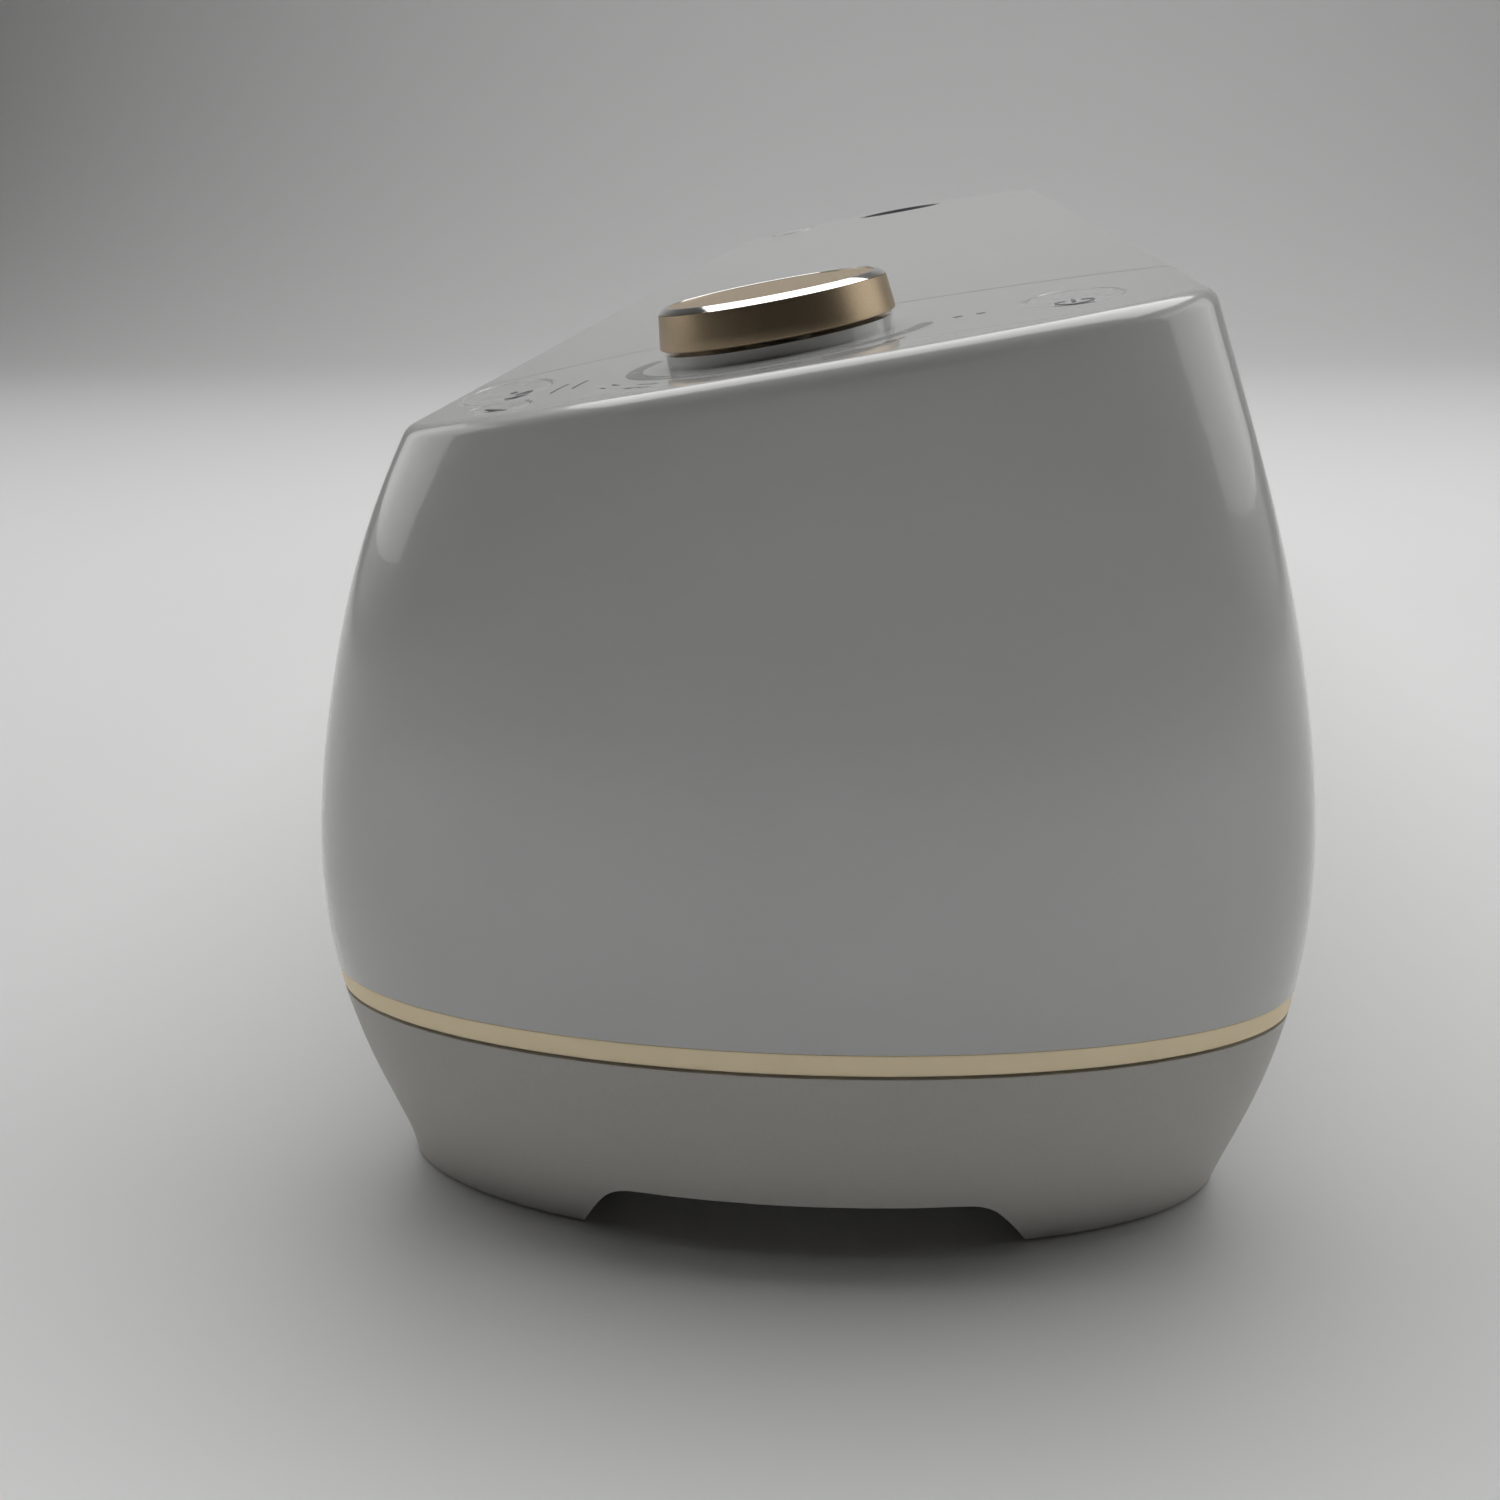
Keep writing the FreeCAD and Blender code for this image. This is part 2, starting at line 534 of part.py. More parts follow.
plate0 = box("chassis0", "-232", "232", "-72", "72", "floor_hi", "floor_hi + 1.5")
ch_holes = [cyl("chassis_hole%d" % i, "1.5", "10", "15", str(x), str(y)) for i, (x, y) in enumerate(SCREWS)]
sub_part("chassis_plate", cut("chassis", plate0, *ch_holes))


def side_frame(side):
    lo, hi = ("frame_x", "frame_x + frame_t") if side > 0 else ("-frame_x - frame_t", "-frame_x")
    n = "frame%d_" % side
    plate = box(n + "plate", lo, hi, "-58", "58", "floor_hi + 1.5", "136")
    if side > 0:
        flange = box(n + "flange", "frame_x - 9", "frame_x + 0.5", "-58", "58", "floor_hi + 1.5", "floor_hi + 3")
    else:
        flange = box(n + "flange", "-frame_x - 0.5", "-frame_x + 9", "-58", "58", "floor_hi + 1.5", "floor_hi + 3")
    tools = [
        cyl(n + "roll", "5.5", lo, hi, "roll_y", "roll_z", "X"),
        cyl(n + "pinch", "pinch_shaft_r + pin_fit", lo, hi, "roll_y", "pinch_z", "X"),
        box(n + "belt", lo, hi, "belt_y - 5", "belt_y + 5", "belt_z - 12", "belt_z + 12"),
        box(n + "light", lo, hi, "-46", "-20", "84", "126"),
    ]
    if side < 0:
        tools.append(cyl(n + "motor", "4", lo, hi, "-2", "41.415", "X"))
        tools.append(box(n + "latch", lo, hi, "open_y * -1 - 6.6", "open_y * -1 + 6.6", "121.4", "140"))
    return cut(n + "done", fuse(n + "l", plate, flange), *tools)


sub_part("right_side_frame", side_frame(1))
sub_part("left_side_frame", side_frame(-1))

bushes = []
for side in (1, -1):
    if side > 0:
        a = cyl("bush_a", "5.5", "frame_x", "frame_x + frame_t", "roll_y", "roll_z", "X")
        b = cyl("bush_b", "7", "frame_x + frame_t", "frame_x + frame_t + 1.5", "roll_y", "roll_z", "X")
        c = cyl("bush_c", "shaft_r + pin_fit", "frame_x - 1", "frame_x + 6", "roll_y", "roll_z", "X")
    else:
        a = cyl("bush_d", "5.5", "-frame_x - frame_t", "-frame_x", "roll_y", "roll_z", "X")
        b = cyl("bush_e", "7", "-frame_x - frame_t - 1.5", "-frame_x - frame_t", "roll_y", "roll_z", "X")
        c = cyl("bush_f", "shaft_r + pin_fit", "-frame_x - 6", "-frame_x + 1", "roll_y", "roll_z", "X")
    bushes.append(cut("bush%d" % side, fuse("bush_ab%d" % side, a, b), c))
sub_part("roller_bearings", group("bush_pair", *bushes))

# mat deck with its roller slot, grooves and front apron
deck0 = box("deck0", "-frame_x", "frame_x", "-deck_front", "deck_back", "deck_z - deck_t", "deck_z")
apron = box("apron", "-frame_x + 9", "frame_x - 9", "-deck_front", "-deck_front + 2", "floor_hi + 1.5", "deck_z - deck_t")
deck_slot = box("deck_slot", "-roll_half - 3", "roll_half + 3", "roll_y - roll_r - 2", "roll_y + roll_r + 2", "50", "90")
cut_groove = box("cut_groove", "-roll_half - 3", "roll_half + 3", "-tool_y - 1.5", "-tool_y + 1.5", "deck_z - 1.2", "90")
sub_part("mat_deck", cut("deck", fuse("deck1", deck0, apron), deck_slot, cut_groove))

# ---------------------------------------------------------------- rollers and gears

X_AXIS = Rotation(Vector(0, 1, 0), 90)
sub_part("drive_roller", revolved("drive_roller_body", [
    ("0", "0"), ("shaft_r", "0"), ("shaft_r", "68.5"), ("roll_r", "68.5"),
    ("roll_r", "68.5 + 2 * roll_half"), ("shaft_r", "68.5 + 2 * roll_half"),
    ("shaft_r", "447.5"), ("0", "447.5")],
    Placement(Vector(-228.5, P["roll_y"], P["roll_z"]), X_AXIS)))


def gear(teeth, width, bore, phase):
    """Spur gear in the XY plane, module from the sheet, with open backlash."""
    m = P["gear_mod"]
    rp = m * teeth / 2.0
    rb = rp * math.cos(math.radians(20))
    ra, rf = rp + 0.85 * m, rp - 1.3 * m
    inv = math.tan(math.radians(20)) - math.radians(20)
    half = math.pi / (2 * teeth) - 0.16 / rp
    pts = []
    for i in range(teeth):
        c = phase + 2 * math.pi * i / teeth
        flank = []
        r0 = max(rb, rf)
        for k in range(5):
            r = r0 + (ra - r0) * k / 4.0
            ac = math.acos(min(1.0, rb / r))
            flank.append((r, half + inv - (math.tan(ac) - ac)))
        left = [(rf, flank[0][1] + 0.02)] + flank
        for r, a in left:
            pts.append((r, c - a))
        for r, a in reversed(left):
            pts.append((r, c + a))
    poly = [Vector(r * math.cos(a), r * math.sin(a), 0) for r, a in pts]
    poly.append(poly[0])
    g = Part.Face(Part.makePolygon(poly)).extrude(Vector(0, 0, width))
    if bore > 0:
        g = g.cut(Part.makeCylinder(bore, width + 2, Vector(0, 0, -1)))
    return g


# the pinion sits below and in front of the roller gear
GAP_A = math.radians(240)
CD = P["gear_mod"] * (P["gear_teeth"] + P["pinion_teeth"]) / 2
PIN_Y = P["roll_y"] + CD * math.cos(GAP_A)
PIN_Z = P["roll_z"] + CD * math.sin(GAP_A)
to_x = Rotation(Vector(0, 0, 0), Vector(0, 0, 1))
to_x = Rotation(Vector(0, 1, 0), Vector(0, 0, 1), Vector(1, 0, 0), "ZXY")
n1, n2 = int(P["gear_teeth"]), int(P["pinion_teeth"])
g1 = gear(n1, P["gear_w"], P["shaft_r"], GAP_A)
g2 = gear(n2, P["gear_w"], 0, GAP_A + math.pi + math.pi / n2)
g2 = g2.fuse(Part.makeCylinder(1.5, P["gear_x"] - P["frame_x"] - 0.3, Vector(0, 0, P["gear_w"] - 0.01)))
hub = Part.makeCylinder(6, 1.0, Vector(0, 0, P["gear_w"] - 0.01)).cut(Part.makeCylinder(P["shaft_r"], 3, Vector(0, 0, P["gear_w"] - 1)))
g1 = g1.fuse(hub)
gx = -P["gear_x"] - P["gear_w"]
sub_part("roller_gear", solid_feature("gear_feature", g1, Placement(Vector(gx, P["roll_y"], P["roll_z"]), to_x)))
sub_part("roller_pinion", solid_feature("pinion_feature", g2, Placement(Vector(gx, PIN_Y, PIN_Z), to_x)))
sub_part("roller_motor", fuse("rmotor", cyl("rmotor_can", "motor_r", "-frame_x + 2", "-frame_x + 30", "-2", "41.415", "X"),
                              box("rmotor_plate", "-frame_x", "-frame_x + 2.1", "-20", "16", "24.5", "58.3")))

sub_part("pinch_shaft", cyl("pinch_rod", "pinch_shaft_r", "-frame_x - 1.5", "frame_x + 1.5", "roll_y", "pinch_z", "X"))
rubbers = []
for i, (a, b) in enumerate([(-158, -140), (-8, 8), (140, 158)]):
    rubbers.append(cut("rubber%d" % i, cyl("rubber_o%d" % i, "pinch_r", str(a), str(b), "roll_y", "pinch_z", "X"),
                       cyl("rubber_i%d" % i, "pinch_shaft_r", str(a - 1), str(b + 1), "roll_y", "pinch_z", "X")))
sub_part("pinch_rollers", group("rubber_set", *rubbers))

# ---------------------------------------------------------------- rails, belt drive

sub_part("guide_rail", cyl("rail", "rail_r", "-frame_x", "frame_x", "rail_y", "rail_z", "X"))
sub_part("lower_rail", box("flat", "-frame_x", "frame_x", "flat_y", "flat_y + 3", "flat_z", "flat_z + 8"))


def racetrack(r, y0, y1):
    a = P["belt_x"]
    zc = P["belt_z"]
    e = [Part.makeLine(Vector(-a, y0, zc + r), Vector(a, y0, zc + r)),
         Part.Arc(Vector(a, y0, zc + r), Vector(a + r, y0, zc), Vector(a, y0, zc - r)).toShape(),
         Part.makeLine(Vector(a, y0, zc - r), Vector(-a, y0, zc - r)),
         Part.Arc(Vector(-a, y0, zc - r), Vector(-a - r, y0, zc), Vector(-a, y0, zc + r)).toShape()]
    return Part.Face(Part.Wire(e)).extrude(Vector(0, y1 - y0, 0))


by = P["belt_y"]
pr = P["pulley_r"]
sub_part("drive_belt", solid_feature("belt_loop", racetrack(pr + 1.4, by - 3, by + 3).cut(racetrack(pr + 0.3, by - 4, by + 4))))


def pulley(name, x, shaft):
    hub_ = cyl(name + "_hub", "pulley_r", "belt_y - 3.4", "belt_y + 3.4", x, "belt_z", "Y")
    f1 = cyl(name + "_f1", "pulley_r + 2.4", "belt_y - 4.4", "belt_y - 3.4", x, "belt_z", "Y")
    f2 = cyl(name + "_f2", "pulley_r + 2.4", "belt_y + 3.4", "belt_y + 4.4", x, "belt_z", "Y")
    if shaft:
        return fuse(name, hub_, f1, f2, cyl(name + "_s", "2.5", "34.9", "belt_y + 4.4", x, "belt_z", "Y"))
    return cut(name, fuse(name + "_w", hub_, f1, f2), cyl(name + "_b", "2 + pin_fit", "30", "55", x, "belt_z", "Y"))


sub_part("drive_pulley", pulley("dpulley", "belt_x", True))
sub_part("idler_pulley", pulley("ipulley", "-belt_x", False))
sub_part("idler_bracket", fuse("ibracket",
                               box("ib_plate", "-belt_x - 10", "-frame_x - frame_t", "belt_y + 5", "belt_y + 7", "belt_z - 8", "belt_z + 8"),
                               cyl("ib_axle", "2", "belt_y - 5.2", "belt_y + 5.5", "-belt_x", "belt_z", "Y")))
cm_plate = cut("cm_plate", box("cm_plate0", "frame_x + frame_t", "belt_x + 18", "34.4", "36", "belt_z - 18", "belt_z + 18"),
               cyl("cm_hole", "3", "30", "40", "belt_x", "belt_z", "Y"))
sub_part("carriage_motor", fuse("cmotor", cm_plate, cyl("cm_can", "motor_r", "4", "34.5", "belt_x", "belt_z", "Y")))

# ---------------------------------------------------------------- carriage

cb = box("car_block", "car_x - car_half", "car_x + car_half", "6", "28", "94", "134")
arm = box("car_arm", "car_x - 20", "car_x + 20", "26", "36.5", "92", "103.5")
clip = box("car_clip", "car_x - 9", "car_x + 9", "27", "belt_y + 5", "104.4", "111")
bore = cyl("car_bore", "rail_r + pin_fit", "car_x - 40", "car_x + 40", "rail_y", "rail_z", "X")
slot = box("car_slot", "car_x - 24", "car_x + 24", "flat_y - 0.3", "flat_y + 3.3", "flat_z - 0.3", "flat_z + 8.3")
belt_way = box("car_belt", "car_x - 12", "car_x + 12", "belt_y - 3.4", "belt_y + 3.4", "belt_z - 9.8", "belt_z - 7.9")
hollow = box("car_hollow", "car_x - 28", "car_x + 28", "8.5", "25.5", "93", "113")
guides = [box("car_rib%d" % i, "car_x + %s" % a, "car_x + %s" % b, "-3", "6.5", "96", "132")
          for i, (a, b) in enumerate([(-32, -29.2), (-1.1, 1.1), (29.2, 32)])]
guides += [box("car_lip%d" % i, "car_x + %s" % a, "car_x + %s" % b, "-5.2", "-3.8", "96", "132")
           for i, (a, b) in enumerate([(-32, -27.4), (-2.6, 2.6), (27.4, 32)])]
guides += [box("car_web%d" % i, "car_x + %s" % a, "car_x + %s" % b, "-4", "-2.9", "96", "132")
           for i, (a, b) in enumerate([(-32, -29.2), (-1.1, 1.1), (29.2, 32)])]
sub_part("carriage_frame", cut("car_frame", fuse("car_all", cb, arm, clip, *guides), bore, slot, belt_way, hollow))


def hood():
    x, h = P["car_x"], P["car_half"]
    b = Part.makeBox(2 * h, 34, 9, Vector(x - h, -5, 134))
    top = [e for e in b.Edges if all(v.Z > 142 for v in e.Vertexes)]
    b = b.makeFillet(3.2, top)
    return b.cut(Part.makeBox(2 * h - 3, 31, 7.4, Vector(x - h + 1.5, -3.5, 133.9)))


sub_part("carriage_cover", solid_feature("hood", hood()))


def holder(name, sgn):
    """Tool holder that slides up and down on the carriage's front."""
    c = "car_x %s tool_dx" % sgn
    plate_ = box(name + "_plate", c + " - 13.5", c + " + 13.5", "-3.5", "5.7", "98", "130")
    cradle = box(name + "_cradle", c + " - 12", c + " + 12", "-tool_y - 9", "-3", "100", "126")
    ear1 = box(name + "_ear1", c + " - 12", c + " - 10.4", "-clamp_y - 2.6", "-tool_y - 8", "100", "105.5")
    ear2 = box(name + "_ear2", c + " + 10.4", c + " + 12", "-clamp_y - 2.6", "-tool_y - 8", "100", "105.5")
    pin = cyl(name + "_pin", "1.2", c + " - 11", c + " + 11", "-clamp_y", "clamp_z", "X")
    tool = cyl(name + "_bore", "hold_r", "90", "140", c, "-tool_y")
    return fuse(name, cut(name + "_c", fuse(name + "_a", plate_, cradle, ear1, ear2), tool), pin)


sub_part("plunger_a", holder("hold_a", "-"))
sub_part("plunger_b", holder("hold_b", "+"))


def lever(name, sgn):
    c = "car_x %s tool_dx" % sgn
    bar = box(name + "_bar", c + " - 10", c + " + 10", "-clamp_y - 1.9", "-clamp_y + 1.9", "clamp_z", "128")
    knuckle = cyl(name + "_kn", "2.05", c + " - 10", c + " + 10", "-clamp_y", "clamp_z", "X")
    thumb = box(name + "_th", c + " - 8", c + " + 8", "-clamp_y - 7", "-clamp_y + 1.9", "127.5", "130.5")
    hole_ = cyl(name + "_h", "1.2 + pin_fit", c + " - 11", c + " + 11", "-clamp_y", "clamp_z", "X")
    return cut(name, fuse(name + "_a", bar, knuckle, thumb), hole_)


sub_part("clamp_a", lever("lev_a_", "-"))
sub_part("clamp_b", lever("lev_b_", "+"))

ca, cb_ = "car_x - tool_dx", "car_x + tool_dx"
sub_part("accessory_sleeve", cut("sleeve", fuse("sleeve_o", cyl("sleeve_t", "hold_r - 0.05", "104", "126.2", ca, "-tool_y"),
                                               cyl("sleeve_f", "hold_r + 0.9", "126", "128", ca, "-tool_y")),
                                 cyl("sleeve_b", "5.6", "100", "135", ca, "-tool_y")))
blade_bits = fuse("bh_o", cyl("bh_t", "hold_r - 0.05", "104", "126.2", cb_, "-tool_y"),
                  cyl("bh_f", "hold_r + 0.9", "126", "128", cb_, "-tool_y"),
                  cyl("bh_k", "5.5", "127.9", "132.5", cb_, "-tool_y"),
                  cone("bh_n", "3.2", "7", "84", "104.1", cb_, "-tool_y"))
sub_part("blade_housing", cut("bh", blade_bits, cyl("bh_b", "1.1", "80", "100", cb_, "-tool_y")))
sub_part("blade", fuse("blade_all", cyl("blade_s", "1.1", "81.5", "100", cb_, "-tool_y"),
                       cone("blade_c", "0.2", "1.1", "79", "81.6", cb_, "-tool_y")))

# ---------------------------------------------------------------- electronics

sub_part("main_board", fuse("mb", box("mb_plate", "60", "190", "-20", "66", "17", "18.6"),
                            *([cyl("mb_s%d" % i, "2.5", "floor_hi + 1.5", "17.1", str(x), str(y))
                               for i, (x, y) in enumerate([(65, -15), (185, -15), (65, 60), (185, 45)])]
                              + [box("mb_c%d" % i, str(x), str(x + w), str(y), str(y + d), "18.5", str(18.6 + hh))
                                 for i, (x, y, w, d, hh) in enumerate([(90, 0, 18, 18, 2.2), (120, -5, 9, 12, 2), (100, 40, 12, 10, 9), (125, 38, 10, 10, 12)])])))
sub_part("power_inlet", cut("inlet", fuse("inlet_a", box("inlet_b", "143", "157", "52", "77.4", "18.6", "35.4"),
                                         cyl("inlet_n", "5.7", "77.2", "81.6", "150", "28", "Y")),
                            cyl("inlet_h", "3.2", "68", "90", "150", "28", "Y")))
sub_part("usb_port", cut("usb", fuse("usb_a", box("usb_b", "169", "183", "56", "77.4", "18.6", "31"),
                                     box("usb_n", "170.4", "181.6", "77.2", "81.6", "20", "30.2")),
                         box("usb_h", "172", "180", "70", "90", "21.5", "28.5")))

tilt = panel_frame(DX, DY)


def tilted_box(name, x0, x1, y0, y1, z0, z1):
    o = doc.addObject("Part::Box", name)
    o.setExpression("Length", ex("(%s) - (%s)" % (x1, x0)))
    o.setExpression("Width", ex("(%s) - (%s)" % (y1, y0)))
    o.setExpression("Height", ex("(%s) - (%s)" % (z1, z0)))
    o.Placement = tilt.multiply(Placement(Vector(val(x0), val(y0), val(z0)), Rotation()))
    return o



def switch(name, x, y):
    """Dome switch on the board, under the stem of the key at (x, y)."""
    dx, dy = x - DX, (y - DY) * 1.013
    return tilted_box(name, "%.2f" % (dx - 3), "%.2f" % (dx + 3), "%.2f" % (dy - 3), "%.2f" % (dy + 3),
                      "-board_drop + 1.5", "-board_drop + 4.4")


cboard_all = fuse("cboard_all", tilted_box("cboard0", "-18", "18", "-55", "52", "-board_drop", "-board_drop + 1.6"),
                  *[switch("switch_" + k, x, y) for k, (x, y, a, b, turn) in BUTTONS.items()])
sub_part("control_board", cut("cboard", cboard_all,
                              along_panel("cboard_h", DX, DY, "4", "-20", "-8")))
sub_part("dial_encoder", cut("enc", tilted_box("enc_b", "-7", "7", "-7", "7", "-board_drop + 1.6", "-board_drop + 7"),
                             along_panel("enc_h", DX, DY, "dial_shaft + pin_fit", "-20", "-6")))

# ---------------------------------------------------------------- panel controls

sub_part("dial_knob", revolved("dial_knob_body", [
    ("0", "dial_lo + 0.2"), ("5.5", "dial_lo + 0.2"), ("5.5", "dial_mid - 1.3"), ("17.2", "dial_mid - 1.3"),
    ("17.9", "dial_lo"), ("dial_r", "dial_lo"), ("dial_top_r", "dial_mid"), ("16.9", "dial_mid"),
    ("16.9", "dial_hi - 0.15"), ("0", "dial_hi - 0.15")], tilt))
sub_part("dial_ring", revolved("dial_ring_body", [
    ("16.9", "dial_mid"), ("dial_top_r", "dial_mid"), ("dial_top_r - 1.2", "dial_hi"), ("16.9", "dial_hi")], tilt))
sub_part("dial_shaft", along_panel("dial_stem", DX, DY, "dial_shaft", "-board_drop + 2.2", "dial_lo + 0.2"))


def dished_button(x, y, a, b, depth, stem, turn):
    """Elliptical key, top flush with the panel and scooped, on a short stem."""
    cap = ellipse_prism(x, y, a, b, -3.2, 6, turn).common(outer.Shape)
    r = (a * a) / (2 * depth) + depth / 2.0
    pl = panel_frame(x, y).multiply(Placement(Vector(), Rotation(Vector(0, 0, 1), turn)))
    m = FreeCAD.Matrix()
    m.scale(1.0, b / a, 1.0)
    scoop = Part.makeSphere(r, Vector(0, 0, 0)).transformGeometry(m)
    scoop.Placement = pl.multiply(Placement(Vector(0, 0, r - depth), Rotation()))
    cap = cap.cut(scoop)
    st = Part.makeCylinder(2.2, stem, Vector(0, 0, -3.2 - stem + 0.3))
    st.Placement = pl.multiply(st.Placement)
    out = cap.fuse(st)
    return out if out.ShapeType == "Solid" else out.Solids[0]


for k, (x, y, a, b, turn) in BUTTONS.items():
    sub_part(k, solid_feature(k + "_feature", dished_button(x, y, a, b, 0.75 if b > 5 else 0.5, 5.7, turn)))

# open button and the latch slide that its foot pushes aside
ob = along_panel("ob_cap", OX, OY, "open_r", "-3.2", "0.6")
ob_stem = along_panel("ob_stem", OX, OY, "3", "-12", "-3")
sub_part("open_button", fuse("ob", ob, ob_stem))


def latch():
    """Slide with a wedge under the open button's foot; a magnet sits on its nose."""
    x0 = -P["bay_x"]
    pts = [Vector(x0, 0, 122), Vector(-252, 0, 122), Vector(-252, 0, 137.5), Vector(-243.3, 0, 137.5),
           Vector(-236.8, 0, 131), Vector(x0, 0, 131)]
    pts.append(pts[0])
    prism = Part.Face(Part.makePolygon(pts)).extrude(Vector(0, 12, 0))
    prism.translate(Vector(0, OY - 6, 0))
    return prism


sub_part("latch_slider", solid_feature("latch_feature", latch()))

# ---------------------------------------------------------------- accessory cup

cup_o = cyl("cup_o", "cup_r", "cup_z", "200", "-cup_x", "cup_y")
cup_i = cyl("cup_i", "cup_r - 1.8", "cup_z + 2", "210", "-cup_x", "cup_y")
sub_part("tool_cup", cut("cup", common("cup_t", outer, cup_o), cup_i))

# ---------------------------------------------------------------- check and write

doc.recompute()
bad = []
for o in doc.Objects:
    if any(s in ("Invalid", "Error") for s in o.State):
        bad.append("%s: %s" % (o.Name, o.State))
for label, o in PARTS:
    if o.Shape.isNull() or not o.Shape.isValid():
        bad.append("%s: shape not valid" % label)
    elif not o.Shape.Solids:
        bad.append("%s: no solid" % label)
if bad:
    raise RuntimeError("; ".join(bad))

os.makedirs("parts", exist_ok=True)
for old in os.listdir("parts"):
    if old.endswith(".step"):
        os.remove(os.path.join("parts", old))
for label, o in PARTS:
    o.Shape.exportStep("parts/%s.step" % label)
    bb = o.Shape.BoundBox
    print("%-18s solids %d  vol %9.1f  x %.1f..%.1f  y %.1f..%.1f  z %.1f..%.1f" % (
        label, len(o.Shape.Solids), o.Shape.Volume, bb.XMin, bb.XMax, bb.YMin, bb.YMax, bb.ZMin, bb.ZMax))
print("lid axis y %.3f z %.3f; door axis y %.3f z %.3f; pinion y %.3f z %.3f" % (LID_Y, LID_Z, DOOR_Y, DOOR_Z, PIN_Y, PIN_Z))
for k, (x, y, a, b, turn) in list(BUTTONS.items()) + [("dial", (DX, DY, 0, 0, 0)), ("open", (OX, OY, 0, 0, 0))]:
    n = panel_frame(x, y).Rotation.multVec(Vector(0, 0, 1))
    print(k, "at %.3f %.3f %.3f" % (x, y, top_height(x, y)), "normal %.5f %.5f %.5f" % (n.x, n.y, n.z))
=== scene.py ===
import json
import math

import bpy
import bmesh
import numpy as np
from mathutils import Matrix, Vector
from mathutils.kdtree import KDTree


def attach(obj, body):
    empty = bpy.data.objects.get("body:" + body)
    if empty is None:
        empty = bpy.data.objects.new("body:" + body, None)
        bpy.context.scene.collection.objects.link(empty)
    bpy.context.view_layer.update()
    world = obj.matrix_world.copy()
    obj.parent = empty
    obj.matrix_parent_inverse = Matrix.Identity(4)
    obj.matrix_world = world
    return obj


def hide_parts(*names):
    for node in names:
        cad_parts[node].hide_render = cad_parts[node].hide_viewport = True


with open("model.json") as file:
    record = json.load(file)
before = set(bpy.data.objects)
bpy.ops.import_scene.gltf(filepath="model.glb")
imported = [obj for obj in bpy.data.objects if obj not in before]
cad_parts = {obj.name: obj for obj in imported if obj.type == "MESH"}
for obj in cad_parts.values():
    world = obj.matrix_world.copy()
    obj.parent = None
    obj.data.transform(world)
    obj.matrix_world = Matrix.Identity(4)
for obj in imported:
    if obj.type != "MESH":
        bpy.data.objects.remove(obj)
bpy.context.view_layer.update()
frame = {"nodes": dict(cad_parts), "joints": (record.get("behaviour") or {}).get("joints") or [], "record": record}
NODES = frame["nodes"]

# ------------------------------------------------------------------ materials


def material(name, color, rough=0.5, metal=0.0, coat=0.0, coat_rough=0.03, bump=0.0, scale=900.0,
             tint=0.0, rough_var=0.0, aniso=0.0, spec=0.5, stretch=(1, 1, 1), emit=0.0):
    m = bpy.data.materials.new(name)
    m.use_nodes = True
    nt = m.node_tree
    bs = nt.nodes["Principled BSDF"]
    bs.inputs["Base Color"].default_value = (*color, 1)
    bs.inputs["Roughness"].default_value = rough
    bs.inputs["Metallic"].default_value = metal
    bs.inputs["Coat Weight"].default_value = coat
    bs.inputs["Coat Roughness"].default_value = coat_rough
    bs.inputs["Specular IOR Level"].default_value = spec
    bs.inputs["Anisotropic"].default_value = aniso
    if emit > 0:
        bs.inputs["Emission Color"].default_value = (*color, 1)
        bs.inputs["Emission Strength"].default_value = emit
    tc = nt.nodes.new("ShaderNodeTexCoord")
    mp = nt.nodes.new("ShaderNodeMapping")
    mp.inputs["Scale"].default_value = stretch
    nt.links.new(tc.outputs["Object"], mp.inputs["Vector"])
    no = nt.nodes.new("ShaderNodeTexNoise")
    no.inputs["Scale"].default_value = scale
    no.inputs["Detail"].default_value = 3
    nt.links.new(mp.outputs["Vector"], no.inputs["Vector"])
    if bump > 0:
        bp = nt.nodes.new("ShaderNodeBump")
        bp.inputs["Strength"].default_value = bump
        bp.inputs["Distance"].default_value = 0.0002
        nt.links.new(no.outputs["Fac"], bp.inputs["Height"])
        nt.links.new(bp.outputs["Normal"], bs.inputs["Normal"])
    if rough_var > 0:
        big = nt.nodes.new("ShaderNodeTexNoise")
        big.inputs["Scale"].default_value = 35
        big.inputs["Detail"].default_value = 4
        nt.links.new(tc.outputs["Object"], big.inputs["Vector"])
        mr = nt.nodes.new("ShaderNodeMapRange")
        mr.inputs["To Min"].default_value = max(rough - rough_var, 0.01)
        mr.inputs["To Max"].default_value = min(rough + rough_var, 1.0)
        nt.links.new(big.outputs["Fac"], mr.inputs["Value"])
        nt.links.new(mr.outputs["Result"], bs.inputs["Roughness"])
    if tint > 0:
        ramp = nt.nodes.new("ShaderNodeValToRGB")
        a = [max(c * (1 - tint), 0) for c in color]
        b = [min(c * (1 + tint), 1) for c in color]
        ramp.color_ramp.elements[0].color = (*a, 1)
        ramp.color_ramp.elements[0].position = 0.3
        ramp.color_ramp.elements[1].color = (*b, 1)
        ramp.color_ramp.elements[1].position = 0.7
        nt.links.new(no.outputs["Fac"], ramp.inputs["Fac"])
        nt.links.new(ramp.outputs["Color"], bs.inputs["Base Color"])
    return m


